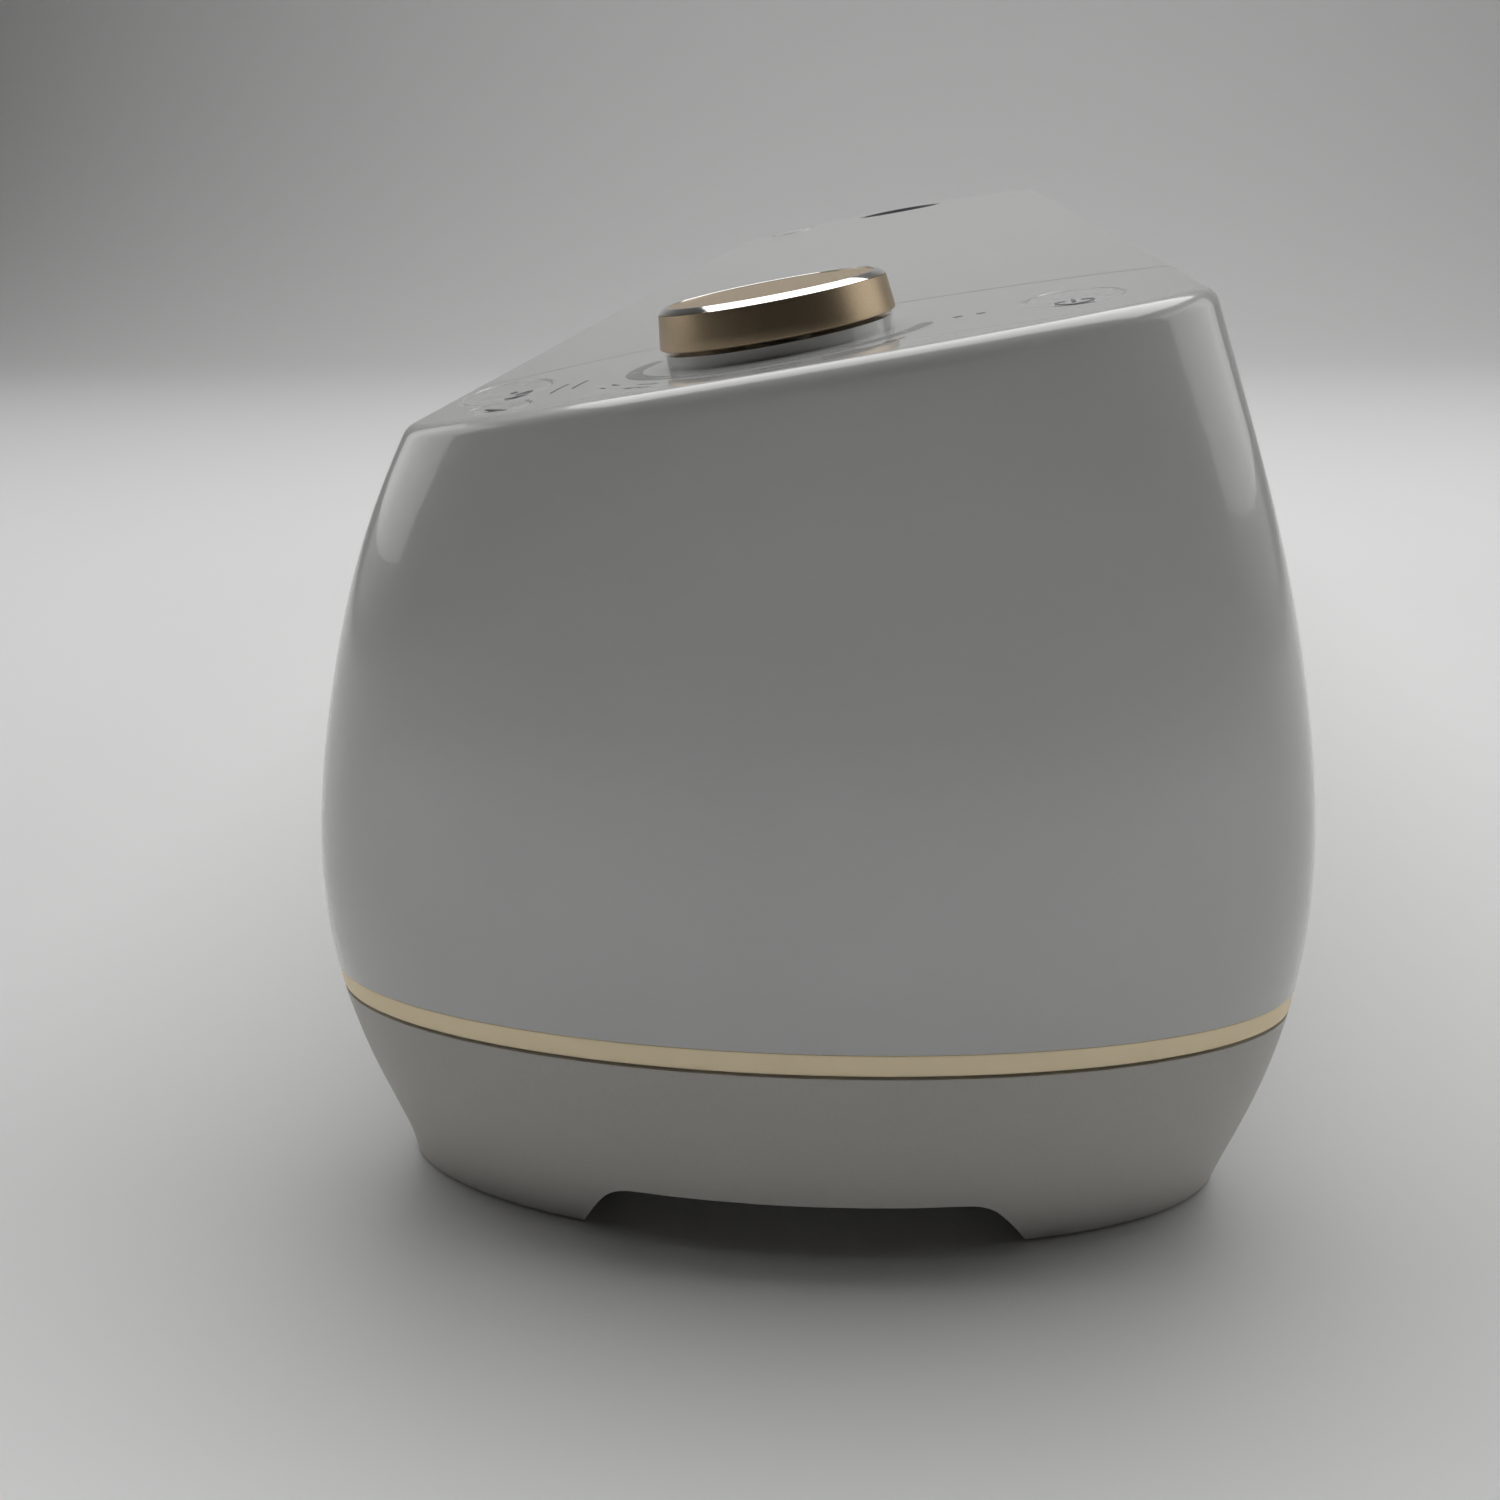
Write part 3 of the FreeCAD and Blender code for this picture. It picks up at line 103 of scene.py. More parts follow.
M = {
    "white_shell": material("white_shell", (0.67, 0.67, 0.66), 0.20, coat=0.9, coat_rough=0.02, rough_var=0.03, bump=0.004, scale=300),
    "grey_base": material("grey_base", (0.60, 0.585, 0.55), 0.55, bump=0.12, scale=2600, tint=0.03, spec=0.35),
    "gold_trim": material("gold_trim", (0.95, 0.80, 0.55), 0.45, metal=0.5, bump=0.05, scale=2500, rough_var=0.04),
    "gold_dial": material("gold_dial", (0.53, 0.41, 0.27), 0.36, metal=0.9, bump=0.10, scale=3000, tint=0.05),
    "bright_ring": material("bright_ring", (0.93, 0.91, 0.87), 0.09, metal=1.0, rough_var=0.03, bump=0.01),
    "rubber_pad": material("rubber_pad", (0.03, 0.03, 0.03), 0.75, bump=0.25, scale=1500, tint=0.1),
    "steel_bare": material("steel_bare", (0.55, 0.55, 0.55), 0.28, metal=1.0, bump=0.05, scale=700, rough_var=0.08, stretch=(0.05, 1, 1)),
    "magnet_metal": material("magnet_metal", (0.55, 0.55, 0.56), 0.2, metal=1.0, rough_var=0.05, bump=0.02),
    "bay_grey": material("bay_grey", (0.24, 0.24, 0.245), 0.42, bump=0.10, scale=2200, tint=0.03),
    "bay_light": material("bay_light", (0.62, 0.62, 0.61), 0.28, coat=0.3, rough_var=0.03, bump=0.02),
    "zinc_plate": material("zinc_plate", (0.52, 0.53, 0.54), 0.38, metal=1.0, tint=0.12, scale=60, rough_var=0.1),
    "bronze": material("bronze", (0.50, 0.34, 0.18), 0.4, metal=1.0, bump=0.1, scale=1500, tint=0.08),
    "roller_grey": material("roller_grey", (0.12, 0.12, 0.125), 0.62, bump=0.3, scale=1800, tint=0.08),
    "gear_nylon": material("gear_nylon", (0.72, 0.70, 0.64), 0.45, bump=0.05, scale=900, tint=0.03),
    "gear_brass": material("gear_brass", (0.68, 0.50, 0.24), 0.3, metal=1.0, rough_var=0.06, tint=0.05),
    "pulley_alu": material("pulley_alu", (0.68, 0.68, 0.69), 0.3, metal=1.0, rough_var=0.06, bump=0.04),
    "motor_can": material("motor_can", (0.30, 0.30, 0.31), 0.36, metal=1.0, rough_var=0.08, tint=0.05),
    "board_green": material("board_green", (0.02, 0.14, 0.06), 0.35, coat=0.3, tint=0.25, scale=400),
    "part_black": material("part_black", (0.02, 0.02, 0.02), 0.45, bump=0.08, scale=1800, tint=0.1),
    "blade_gold": material("blade_gold", (0.62, 0.46, 0.26), 0.3, metal=1.0, rough_var=0.05, bump=0.03),
    "key_gloss": material("key_gloss", (0.70, 0.70, 0.695), 0.12, coat=0.9, coat_rough=0.02, rough_var=0.02, bump=0.01),
    "print_grey": material("print_grey", (0.16, 0.165, 0.17), 0.4, tint=0.08, scale=1500),
    "print_band": material("print_band", (0.30, 0.305, 0.305), 0.3, tint=0.05, scale=1500),
    "gap_dark": material("gap_dark", (0.03, 0.022, 0.02), 0.5, tint=0.1),
}
slot_of = {s["node"]: s["material_slot"] for s in frame["record"]["subparts"]}
for name, ob in NODES.items():
    ob.data.materials.clear()
    ob.data.materials.append(M[slot_of[name]])

# ------------------------------------------------------------------ outer mould, as in the part

LEV = np.array([0, 24, 48, 75, 100, 125, 150, 178.0])
FRONT = np.array([80.2, 83.2, 88.2, 88.3, 83.5, 75.6, 62.8, 46.5])
REAR = np.array([77.0, 82.2, 86.9, 87.6, 84.0, 77.9, 69.6, 60.5])
TIP = np.array([270.3, 278.6, 280.3, 279.2, 278.2, 277.2, 276.8, 275.0])
BULGE, RIM = 31.4, 3.6
TOP_Z, RISE, CROWN, FLAT, FALL = 156.6, 0.1605, 0.0004, 262.0, 200.0
SPLIT_X, SPLIT_R, GAP = 203.7, 500.0, 0.5

def spline(xs, ys):
    """Cubic spline through the levels with not-a-knot ends."""
    n = len(xs)
    h = np.diff(xs)
    A = np.zeros((n, n))
    r = np.zeros(n)
    for i in range(1, n - 1):
        A[i, i - 1], A[i, i], A[i, i + 1] = h[i - 1], 2 * (h[i - 1] + h[i]), h[i]
        r[i] = 6 * ((ys[i + 1] - ys[i]) / h[i] - (ys[i] - ys[i - 1]) / h[i - 1])
    A[0, 0], A[0, 1], A[0, 2] = h[1], -(h[0] + h[1]), h[0]
    A[-1, -1], A[-1, -2], A[-1, -3] = h[-2], -(h[-2] + h[-1]), h[-1]
    m = np.linalg.solve(A, r)

    def f(x):
        x = np.asarray(x, float)
        i = np.clip(np.searchsorted(xs, x) - 1, 0, n - 2)
        d = x - xs[i]
        hh = h[i]
        a = (m[i + 1] - m[i]) / (6 * hh)
        c = (ys[i + 1] - ys[i]) / hh - hh * (2 * m[i] + m[i + 1]) / 6
        return ys[i] + c * d + m[i] / 2 * d * d + a * d ** 3
    return f


def top_at(x, y, drop=0.0):
    e = np.maximum(np.abs(x) - FLAT, 0)
    return TOP_Z + RISE * y - CROWN * y * y - e * e / (2 * FALL) - drop


def top_slope(x, y):
    e = np.maximum(np.abs(x) - FLAT, 0)
    return -np.sign(x) * e / FALL, RISE - 2 * CROWN * y


class Mould:
    def __init__(self, offset, rim):
        self.f = spline(LEV, FRONT - offset)
        self.r = spline(LEV, REAR - offset)
        self.tip = spline(LEV, TIP - offset)
        self.bulge, self.rim, self.drop = BULGE - offset, rim, offset * 1.012

    def wall(self, col, z):
        """Point of the wall on one column at height z."""
        kind, a = col
        f, r, t = float(self.f(z)), float(self.r(z)), float(self.tip(z))
        c = t - self.bulge
        if kind == "front":
            s = split_at(-f)
            return np.array([s + a * (c - s), -f, z])
        if kind == "rear":
            s = split_at(r)
            return np.array([c + a * (s - c), r, z])
        half, mid = (f + r) / 2, (r - f) / 2
        return np.array([c + self.bulge * math.cos(a), mid + half * math.sin(a), z])

    def corner(self, col):
        """Where the wall meets the top, and the two ends of the rim's round."""
        z = 150.0
        for _ in range(30):
            p = self.wall(col, z)
            z = float(top_at(p[0], p[1], self.drop))
        k = self.wall(col, z)
        dw = self.wall(col, z - 0.5) - k
        dw /= np.linalg.norm(dw)
        kind, a = col
        if kind == "front":
            n = np.array([0, 1.0])
        elif kind == "rear":
            n = np.array([0, -1.0])
        else:
            half = (float(self.f(z)) + float(self.r(z))) / 2
            n = -np.array([math.cos(a) / self.bulge, math.sin(a) / half])
            n /= np.linalg.norm(n)
        sx, sy = top_slope(k[0], k[1])
        dt = np.array([n[0], n[1], sx * n[0] + sy * n[1]])
        dt /= np.linalg.norm(dt)
        al = math.acos(max(-1, min(1, float(dw @ dt))))
        ln = self.rim / math.tan(al / 2)
        return k, dw, dt, al, ln

    def column(self, col, z0, rows, rim_rows):
        k, dw, dt, al, ln = self.corner(col)
        z1 = k[2] + dw[2] * ln
        out = [self.wall(col, z) for z in z0 + (z1 - z0) * np.linspace(0, 1, rows) ** 0.9]
        a, b = out[-1], k + dt * ln
        w = math.sin(al / 2)
        for u in np.linspace(0, 1, rim_rows + 1)[1:]:
            q = (1 - u) ** 2 * a + 2 * w * u * (1 - u) * k + u * u * b
            out.append(q / ((1 - u) ** 2 + 2 * w * u * (1 - u) + u * u))
        out[-1][2] = float(top_at(out[-1][0], out[-1][1], self.drop))
        return np.array(out)


def split_at(y):
    return SPLIT_X + SPLIT_R - math.sqrt(SPLIT_R ** 2 - y * y)


COLS = [("front", a) for a in np.linspace(0, 1, 9)[:-1]] + \
       [("end", a) for a in np.radians(np.concatenate([np.linspace(-90, -60, 26)[:-1], np.linspace(-60, 60, 61), np.linspace(60, 90, 26)[1:]]))] + \
       [("rear", a) for a in np.linspace(0, 1, 9)[1:]]


def cap_grid(m, z0, rows=46, rim_rows=10, top_rows=36):
    cols = [m.column(c, z0, rows, rim_rows) for c in COLS]
    q = np.array([c[-1] for c in cols])
    arc = np.concatenate([[0], np.cumsum(np.linalg.norm(np.diff(q, axis=0), axis=1))])
    arc /= arc[-1]
    out = []
    for c, g in zip(cols, arc):
        y = q[0][1] + (q[-1][1] - q[0][1]) * g
        b = np.array([split_at(y), y])
        top = []
        for u in np.linspace(0, 1, top_rows + 1)[1:]:
            p = c[-1][:2] * (1 - u) + b * u
            top.append([p[0], p[1], float(top_at(p[0], p[1], m.drop))])
        out.append(np.vstack([c, top]))
    return np.array(out)                     # column, row, xyz


def profile(m, kind_z):
    """Front-to-rear profile of the middle, from (front, z0) over the top to (rear, z1)."""
    z0, z1 = kind_z
    a = m.column(("front", 0.0), z0, 26, 10)
    b = m.column(("rear", 1.0), z1, 26, 10)[::-1]
    ys = np.linspace(a[-1][1], b[0][1], 42)[1:-1]
    t = np.array([[0, y, float(top_at(0.0, y, m.drop))] for y in ys])
    return np.vstack([a, t, b])[:, 1:]


def strip_grid(path, gap=GAP, cols=40):
    out = []
    for u in np.linspace(-1, 1, cols):
        out.append([[u * (split_at(y) - gap), y, z] for y, z in path])
    return np.array(out)


def mesh_object(name, verts, faces, mat, body, mirror=False, smooth=35):
    v = np.array(verts, float) / 1000.0
    if mirror:
        v[:, 0] *= -1
        faces = [tuple(reversed(f)) for f in faces]
    me = bpy.data.meshes.new(name)
    me.from_pydata(v.tolist(), [], [tuple(f) for f in faces])
    bm = bmesh.new()
    bm.from_mesh(me)
    bmesh.ops.remove_doubles(bm, verts=bm.verts, dist=2e-6)
    bmesh.ops.dissolve_degenerate(bm, edges=bm.edges, dist=1e-6)
    bmesh.ops.recalc_face_normals(bm, faces=bm.faces)
    bm.to_mesh(me)
    bm.free()
    me.update()
    me.shade_smooth()
    me.set_sharp_from_angle(angle=math.radians(smooth))
    o = bpy.data.objects.new(name, me)
    bpy.context.scene.collection.objects.link(o)
    me.materials.append(mat)
    if body:
        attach(o, body)
    return o


def closed_shell(outer, inner):
    """Vertices and faces of a wall between two grids of the same shape."""
    nc, nr = outer.shape[:2]
    v = np.vstack([outer.reshape(-1, 3), inner.reshape(-1, 3)])
    off = nc * nr
    f = []
    for i in range(nc - 1):
        for j in range(nr - 1):
            a, b, c, d = i * nr + j, (i + 1) * nr + j, (i + 1) * nr + j + 1, i * nr + j + 1
            f.append((a, b, c, d))
            f.append((off + d, off + c, off + b, off + a))
    ring = [(i, 0) for i in range(nc)] + [(nc - 1, j) for j in range(1, nr)] + \
           [(i, nr - 1) for i in range(nc - 2, -1, -1)] + [(0, j) for j in range(nr - 2, 0, -1)]
    idx = [i * nr + j for i, j in ring]
    for a, b in zip(idx, idx[1:] + idx[:1]):
        f.append((b, a, off + a, off + b))
    return v, f


def panel_matrix(x, y, m=None):
    """Frame on the top face at (x, y), millimetres, Z along the face's normal."""
    z = float(top_at(x, y))
    s = RISE - 2 * CROWN * y
    return Matrix.Translation(Vector((x, y, z))) @ Matrix.Rotation(math.atan(s), 4, "X")


def prism(name, outline, lo, hi, x, y, mat, body=None, mirror=False):
    """Closed prism square to the panel from a list of (u, v) outline points."""
    P = panel_matrix(x, y)
    n = len(outline)
    v = [P @ Vector((a, b, lo)) for a, b in outline] + [P @ Vector((a, b, hi)) for a, b in outline]
    f = [tuple(range(n))[::-1], tuple(range(n, 2 * n))]
    f += [(i, (i + 1) % n, n + (i + 1) % n, n + i) for i in range(n)]
    return mesh_object(name, [list(p) for p in v], f, mat, body, mirror)


def oval(a, b, n=96, x0=0.0, y0=0.0, turn=0.0):
    out = []
    for k in range(n):
        t = 2 * math.pi * k / n
        u, w = a * math.cos(t), b * math.sin(t)
        out.append((x0 + u * math.cos(turn) - w * math.sin(turn), y0 + u * math.sin(turn) + w * math.cos(turn)))
    return out


def cut_with(obj, cutters):
    """Boolean difference; the smooth normals of the uncut skin are read but not put back."""
    src = obj.data.copy()
    kd = KDTree(len(src.vertices))
    for i, v in enumerate(src.vertices):
        kd.insert(v.co, i)
    kd.balance()
    normals = [Vector(n.vector) for n in src.vertex_normals]
    for c in cutters:
        md = obj.modifiers.new("cut", "BOOLEAN")
        md.operation, md.solver, md.object = "DIFFERENCE", "EXACT", c
    dg = bpy.context.evaluated_depsgraph_get()
    me = bpy.data.meshes.new_from_object(obj.evaluated_get(dg))
    obj.modifiers.clear()
    old = obj.data
    obj.data = me
    me.name = old.name
    for c in cutters:
        bpy.data.objects.remove(c)
    me.materials.clear()
    me.materials.append(old.materials[0])
    me.update()
    return obj


# ------------------------------------------------------------------ pieces

OUT, INN = Mould(0.0, RIM), Mould(2.5, RIM - 1.8)
BAND_HI, DOOR_TOP, LID_FRONT = 46.0, 99.6, 100.4
AX = {j["name"]: [c * 1000 for c in j.get("pos_m", (0, 0, 0))] for j in frame["joints"]}
LID_Y, LID_Z = AX["lid_hinge"][1], AX["lid_hinge"][2]
DOOR_Y, DOOR_Z = AX["door_hinge"][1], AX["door_hinge"][2]
BARREL = 4.7
KEYS = {"power_button": (240.0, 43.5, 12.5, 7.8, 0.0), "load_button": (229.0, -53.5, 17.0, 8.0, 20.0),
        "go_button": (253.0, -48.5, 8.5, 3.9, 40.0)}
KEY_BODY = {"power_button": "power_key_body", "load_button": "load_key_body", "go_button": "go_key_body"}
DIAL = (241.5, -3.75)
OPEN = (-239.0, -42.0)
CUP = (-241.0, 5.0, 17.5)

# control end and far end
rc_v, rc_f = closed_shell(cap_grid(OUT, BAND_HI), cap_grid(INN, BAND_HI))
right_cap = mesh_object("right_cap_skin", rc_v, rc_f, M["white_shell"], "base")
cuts = []
for k, (x, y, a, b, turn) in KEYS.items():
    cuts.append(prism("cutter", oval(a + 0.2, b + 0.2, turn=math.radians(turn)), -12, 8, x, y, M["white_shell"]))
cut_with(right_cap, cuts)
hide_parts("right_end_cap")
boss = prism("dial_boss_skin", oval(18.8, 18.8, 160), -1.5, 1.9, DIAL[0], DIAL[1], M["white_shell"], "base")

left_cap = mesh_object("left_cap_skin", rc_v, rc_f, M["white_shell"], "base", mirror=True)
c1 = prism("cutter", oval(9.2, 9.2), -12, 8, OPEN[0], OPEN[1], M["white_shell"])
ring = [(CUP[0] + CUP[2] * math.cos(t), CUP[1] + CUP[2] * math.sin(t)) for t in np.linspace(0, 2 * math.pi, 129)[:-1]]
cv = [[x, y, 120] for x, y in ring] + [[x, y, 200] for x, y in ring]
cf = [tuple(range(128))[::-1], tuple(range(128, 256))] + [(i, (i + 1) % 128, 128 + (i + 1) % 128, 128 + i) for i in range(128)]
c2 = mesh_object("cutter", cv, cf, M["white_shell"], None)
cut_with(left_cap, [c1, c2])
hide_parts("left_end_cap")


def tube(name, y, z, r, x0, x1, mat, body, n=48):
    v, f = [], []
    for x in (x0, x1):
        for k in range(n):
            a = 2 * math.pi * k / n
            v.append([x, y + r * math.cos(a), z + r * math.sin(a)])
    f = [tuple(range(n)), tuple(range(n, 2 * n))[::-1]] + [(i, n + i, n + (i + 1) % n, (i + 1) % n) for i in range(n)]
    return mesh_object(name, v, f, mat, body)


def block(name, x0, x1, y0, y1, z0, z1, mat, body):
    v = [[x, y, z] for x in (x0, x1) for y in (y0, y1) for z in (z0, z1)]
    f = [(0, 1, 3, 2), (4, 6, 7, 5), (0, 4, 5, 1), (2, 3, 7, 6), (0, 2, 6, 4), (1, 5, 7, 3)]
    return mesh_object(name, v, f, mat, body)


def middle(name, po, pi, body, node):
    v, f = closed_shell(strip_grid(po), strip_grid(pi))
    o = mesh_object(name, v, f, M["white_shell"], body)
    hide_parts(node)
    return o


def wall_path(m, side, z0, z1, n=30):
    zs = np.linspace(z0, z1, n)
    return [(-float(m.f(z)) if side < 0 else float(m.r(z)), z) for z in zs]


# lid with its rolled rear edge, ribs and catch tabs
lid = middle("lid_skin", profile(OUT, (LID_FRONT, LID_Z)), profile(INN, (LID_FRONT, LID_Z)), "lid_body", "lid")
tube("lid_roll", LID_Y, LID_Z, BARREL, -206.5, 206.5, M["white_shell"], "lid_body")
R0, R1 = profile(Mould(2.4, RIM - 1.8), (LID_FRONT + 1, LID_Z)), profile(Mould(7.5, 0.5), (LID_FRONT + 1, LID_Z))
keep = [i for i in range(len(R0)) if R0[i][0] < LID_Y - 6 and R1[i][0] < LID_Y - 6]
for i, x in enumerate((-201, -100, 0, 100, 201)):
    g0 = np.array([[[x + d, R0[k][0], R0[k][1]] for k in keep] for d in (-1.2, 1.2)])
    g1 = np.array([[[x + d, R1[k][0], R1[k][1]] for k in keep] for d in (-1.2, 1.2)])
    rv, rf = closed_shell(g0, g1)
    mesh_object("lid_rib_%d" % i, rv, rf, M["white_shell"], "lid_body")
for i, x in enumerate((-201, 201)):
    block("lid_tab_%d" % i, x - 1.2, x + 1.2, -47, -37, 122, 146, M["white_shell"], "lid_body")

# door, rear cover
door = middle("door_skin", wall_path(OUT, -1, DOOR_Z, DOOR_TOP), wall_path(INN, -1, DOOR_Z, DOOR_TOP), "door_body", "front_door")
tube("door_roll", DOOR_Y, DOOR_Z, BARREL, -209, 209, M["white_shell"], "door_body")
rear = middle("rear_skin", wall_path(OUT, 1, BAND_HI, LID_Z - BARREL - GAP), wall_path(INN, 1, BAND_HI, LID_Z - BARREL - GAP), "base", "rear_cover")
cut_with(rear, [block("cutter", -165, 165, 60, 130, 69.5, 76, M["white_shell"], None)])


def loop_ring(m, z0, z1, rows=4):
    cols = []
    for side in (1, -1):
        seq = COLS if side == 1 else COLS[::-1]
        for c in seq:
            p = np.array([m.wall(c, z) for z in np.linspace(z0, z1, rows)])
            if side == -1:
                p = p * np.array([-1, 1, 1])
            cols.append(p)
    return np.array(cols)


def closed_ring(name, go, gi, mat, body):
    nc, nr = go.shape[:2]
    v = np.vstack([go.reshape(-1, 3), gi.reshape(-1, 3)])
    off = nc * nr
    f = []
    for i in range(nc):
        k = (i + 1) % nc
        for j in range(nr - 1):
            a, b, c, d = i * nr + j, k * nr + j, k * nr + j + 1, i * nr + j + 1
            f += [(a, b, c, d), (off + d, off + c, off + b, off + a)]
        f += [(k * nr, i * nr, off + i * nr, off + k * nr), (i * nr + nr - 1, k * nr + nr - 1, off + k * nr + nr - 1, off + i * nr + nr - 1)]
    return mesh_object(name, v, f, mat, body)


# trim band with softened edges, standing a hair inside the white shell
def band_grid(inner):
    if inner:
        return loop_ring(INN, 41.8, 46.0, 6)
    g = loop_ring(OUT, 41.8, 46.0, 6)
    e = [0.35, 0.08, 0.0, 0.0, 0.08, 0.35]
    z = [41.8, 42.0, 42.5, 45.3, 45.8, 46.0]
    out = []
    for side_col in range(g.shape[0]):
        c = g[side_col].copy()
        x, y = c[3][0], c[3][1]
        n = np.array([0.0, 1.0 if y > 0 else -1.0])
        cx0 = float(OUT.tip(44)) - BULGE
        if abs(x) > cx0:
            n = np.array([(abs(x) - cx0) / BULGE ** 2 * (1 if x > 0 else -1), (y + 0.65) / 87.0 ** 2])
            n /= np.linalg.norm(n)
        for j in range(6):
            t = (z[j] - 41.8) / 4.2
            base = g[side_col][0] * (1 - t) + g[side_col][5] * t
            c[j] = [base[0] - n[0] * e[j], base[1] - n[1] * e[j], z[j]]
        out.append(c)
    return np.array(out)


band = closed_ring("trim_band_skin", band_grid(False), band_grid(True), M["gold_trim"], "base")
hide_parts("trim_band")


def turned(name, prof, x, y, mat, body, n=192, closed=True):
    """Solid of revolution about the panel normal from (r, height) points."""
    P = panel_matrix(x, y)
    v, f = [], []
    k = len(prof)
    for i in range(n):
        a = 2 * math.pi * i / n
        for r, h in prof:
            v.append(list(P @ Vector((r * math.cos(a), r * math.sin(a), h))))
    for i in range(n):
        q = (i + 1) % n
        for j in range(k if closed else k - 1):
            jj = (j + 1) % k
            f.append((i * k + j, q * k + j, q * k + jj, i * k + jj))
    return mesh_object(name, v, f, mat, body, smooth=28)


knob = turned("dial_knob_skin", [(0.001, 2.8), (5.5, 2.8), (5.5, 7.0), (17.2, 7.0), (17.6, 2.75), (19.1, 2.6), (19.42, 2.78),
                                 (19.46, 3.1), (19.28, 4.6), (19.02, 6.2), (18.78, 7.9), (18.7, 8.28), (16.9, 8.3), (16.9, 9.02), (0.001, 9.04)], DIAL[0], DIAL[1], M["gold_dial"], "dial_body")
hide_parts("dial_knob")
rim_ring = turned("dial_ring_skin", [(16.9, 8.3), (18.62, 8.3), (18.7, 8.36), (17.56, 9.16), (17.42, 9.2), (16.96, 9.2), (16.9, 9.14)], DIAL[0], DIAL[1], M["bright_ring"], "dial_body")
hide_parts("dial_ring")


def key_mesh(name, x, y, a, b, turn, dish, mat, body, rings=22, n=128, flat=0.0):
    """Oval key: rolled lip, scooped face, skirt and stem."""
    P = panel_matrix(x, y)
    Pi = P.inverted()
    ct, st = math.cos(math.radians(turn)), math.sin(math.radians(turn))
    rows = [(1.0, None, -3.2), (1.0, None, -0.42), (0.985, None, -0.12)]
    for k in range(rings + 1):
        q = 0.965 * (1 - k / rings)
        h = -dish * (1 - (q / 0.965) ** 2) ** 1.15 - 0.02
        rows.append((q, h, None))
    v = []
    for s, h, fix in rows:
        for i in range(n):
            t = 2 * math.pi * i / n
            if s < 1e-6:
                s = 1e-4
            inset = 0.0
            u, w = (a - inset) * s * math.cos(t), (b - inset) * s * math.sin(t)
            u, w = u * ct - w * st, u * st + w * ct
            p = P @ Vector((u, w, 0))
            skin = (Pi @ Vector((p.x, p.y, float(top_at(p.x, p.y))))).z
            v.append(list(P @ Vector((u, w, skin + (h if h is not None else fix)))))
    f = [tuple(range(n))[::-1]]
    for r in range(len(rows) - 1):
        f += [(r * n + i, r * n + (i + 1) % n, (r + 1) * n + (i + 1) % n, (r + 1) * n + i) for i in range(n)]
    o = mesh_object(name, v, f, mat, body)
    turned(name + "_stem", [(0.001, -8.6), (2.2, -8.6), (2.2, -3.1), (0.001, -3.1)], x, y, mat, body, n=32)
    return o


for k, (x, y, a, b, turn) in KEYS.items():
    o = key_mesh(k + "_skin", x, y, a, b, turn, 0.75 if b > 5 else 0.5, M["key_gloss"], KEY_BODY[k])
    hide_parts(k)
ok = turned("open_button_skin", [(0.001, -12.0), (3.0, -12.0), (3.0, -3.2), (9.0, -3.2), (9.0, 0.1), (8.85, 0.4), (8.5, 0.55), (8.0, 0.6), (4.0, 0.3), (0.001, 0.2)],
            OPEN[0], OPEN[1], M["key_gloss"], "open_key_body")
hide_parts("open_button")


# ------------------------------------------------------------------ plain print on the panel

def decal(name, quads, mat, body, lift=0.03, thick=0.05, surf=None):
    """Thin raised print: outlines in panel plan coordinates (x, y), mm."""
    v, f = [], []
    for poly in quads:
        s0 = len(v)
        n = len(poly)
        for x, y in poly:
            z = float(top_at(x, y)) if surf is None else surf(x, y)
            v.append([x, y, z + lift])
        for x, y in poly:
            z = float(top_at(x, y)) if surf is None else surf(x, y)
            v.append([x, y, z - thick])
        f.append(tuple(s0 + i for i in range(n)))
        f += [(s0 + i, s0 + n + i, s0 + n + (i + 1) % n, s0 + (i + 1) % n) for i in range(n)]
        f.append(tuple(s0 + n + i for i in range(n))[::-1])
    return mesh_object(name, v, f, mat, body)


def ring_quads(cx0, cy0, r0, r1, a0, a1, n=64):
    q = []
    an = np.radians(np.linspace(a0, a1, n + 1))
    for a, b in zip(an, an[1:]):
        q.append([(cx0 + r0 * math.cos(a), cy0 + r0 * math.sin(a)), (cx0 + r1 * math.cos(a), cy0 + r1 * math.sin(a)),
                  (cx0 + r1 * math.cos(b), cy0 + r1 * math.sin(b)), (cx0 + r0 * math.cos(b), cy0 + r0 * math.sin(b))])
    return q


def ring_poly(cx0, cy0, r0, r1, a0, a1, n=64):
    """One closed outline of an arc band with round ends."""
    an = np.radians(np.linspace(a0, a1, n + 1))
    out = [(cx0 + r1 * math.cos(a), cy0 + r1 * math.sin(a)) for a in an]
    rm, rr = (r0 + r1) / 2, (r1 - r0) / 2
    ex, ey = cx0 + rm * math.cos(an[-1]), cy0 + rm * math.sin(an[-1])
    out += [(ex + rr * math.cos(an[-1] + t), ey + rr * math.sin(an[-1] + t)) for t in np.linspace(0, math.pi, 9)[1:-1]]
    out += [(cx0 + r0 * math.cos(a), cy0 + r0 * math.sin(a)) for a in an[::-1]]
    sx, sy = cx0 + rm * math.cos(an[0]), cy0 + rm * math.sin(an[0])
    out += [(sx + rr * math.cos(an[0] + math.pi + t), sy + rr * math.sin(an[0] + math.pi + t)) for t in np.linspace(0, math.pi, 9)[1:-1]]
    return out


DXP, DYP = DIAL
decal("legend_band", [ring_poly(DXP, DYP, 22.7, 25.5, -112, 78)], M["print_band"], "base", 0.02)
ticks = []
for a in (-86, -62, -38, -14, 10, 34, 58):
    t = math.radians(a)
    px, py = DXP + 24.1 * math.cos(t), DYP + 24.1 * math.sin(t)
    ticks.append([(px + 0.55 * math.cos(u), py + 0.55 * math.sin(u)) for u in np.linspace(0, 2 * math.pi, 13)[:-1]])
decal("legend_dots", ticks, M["white_shell"], "base", 0.04)
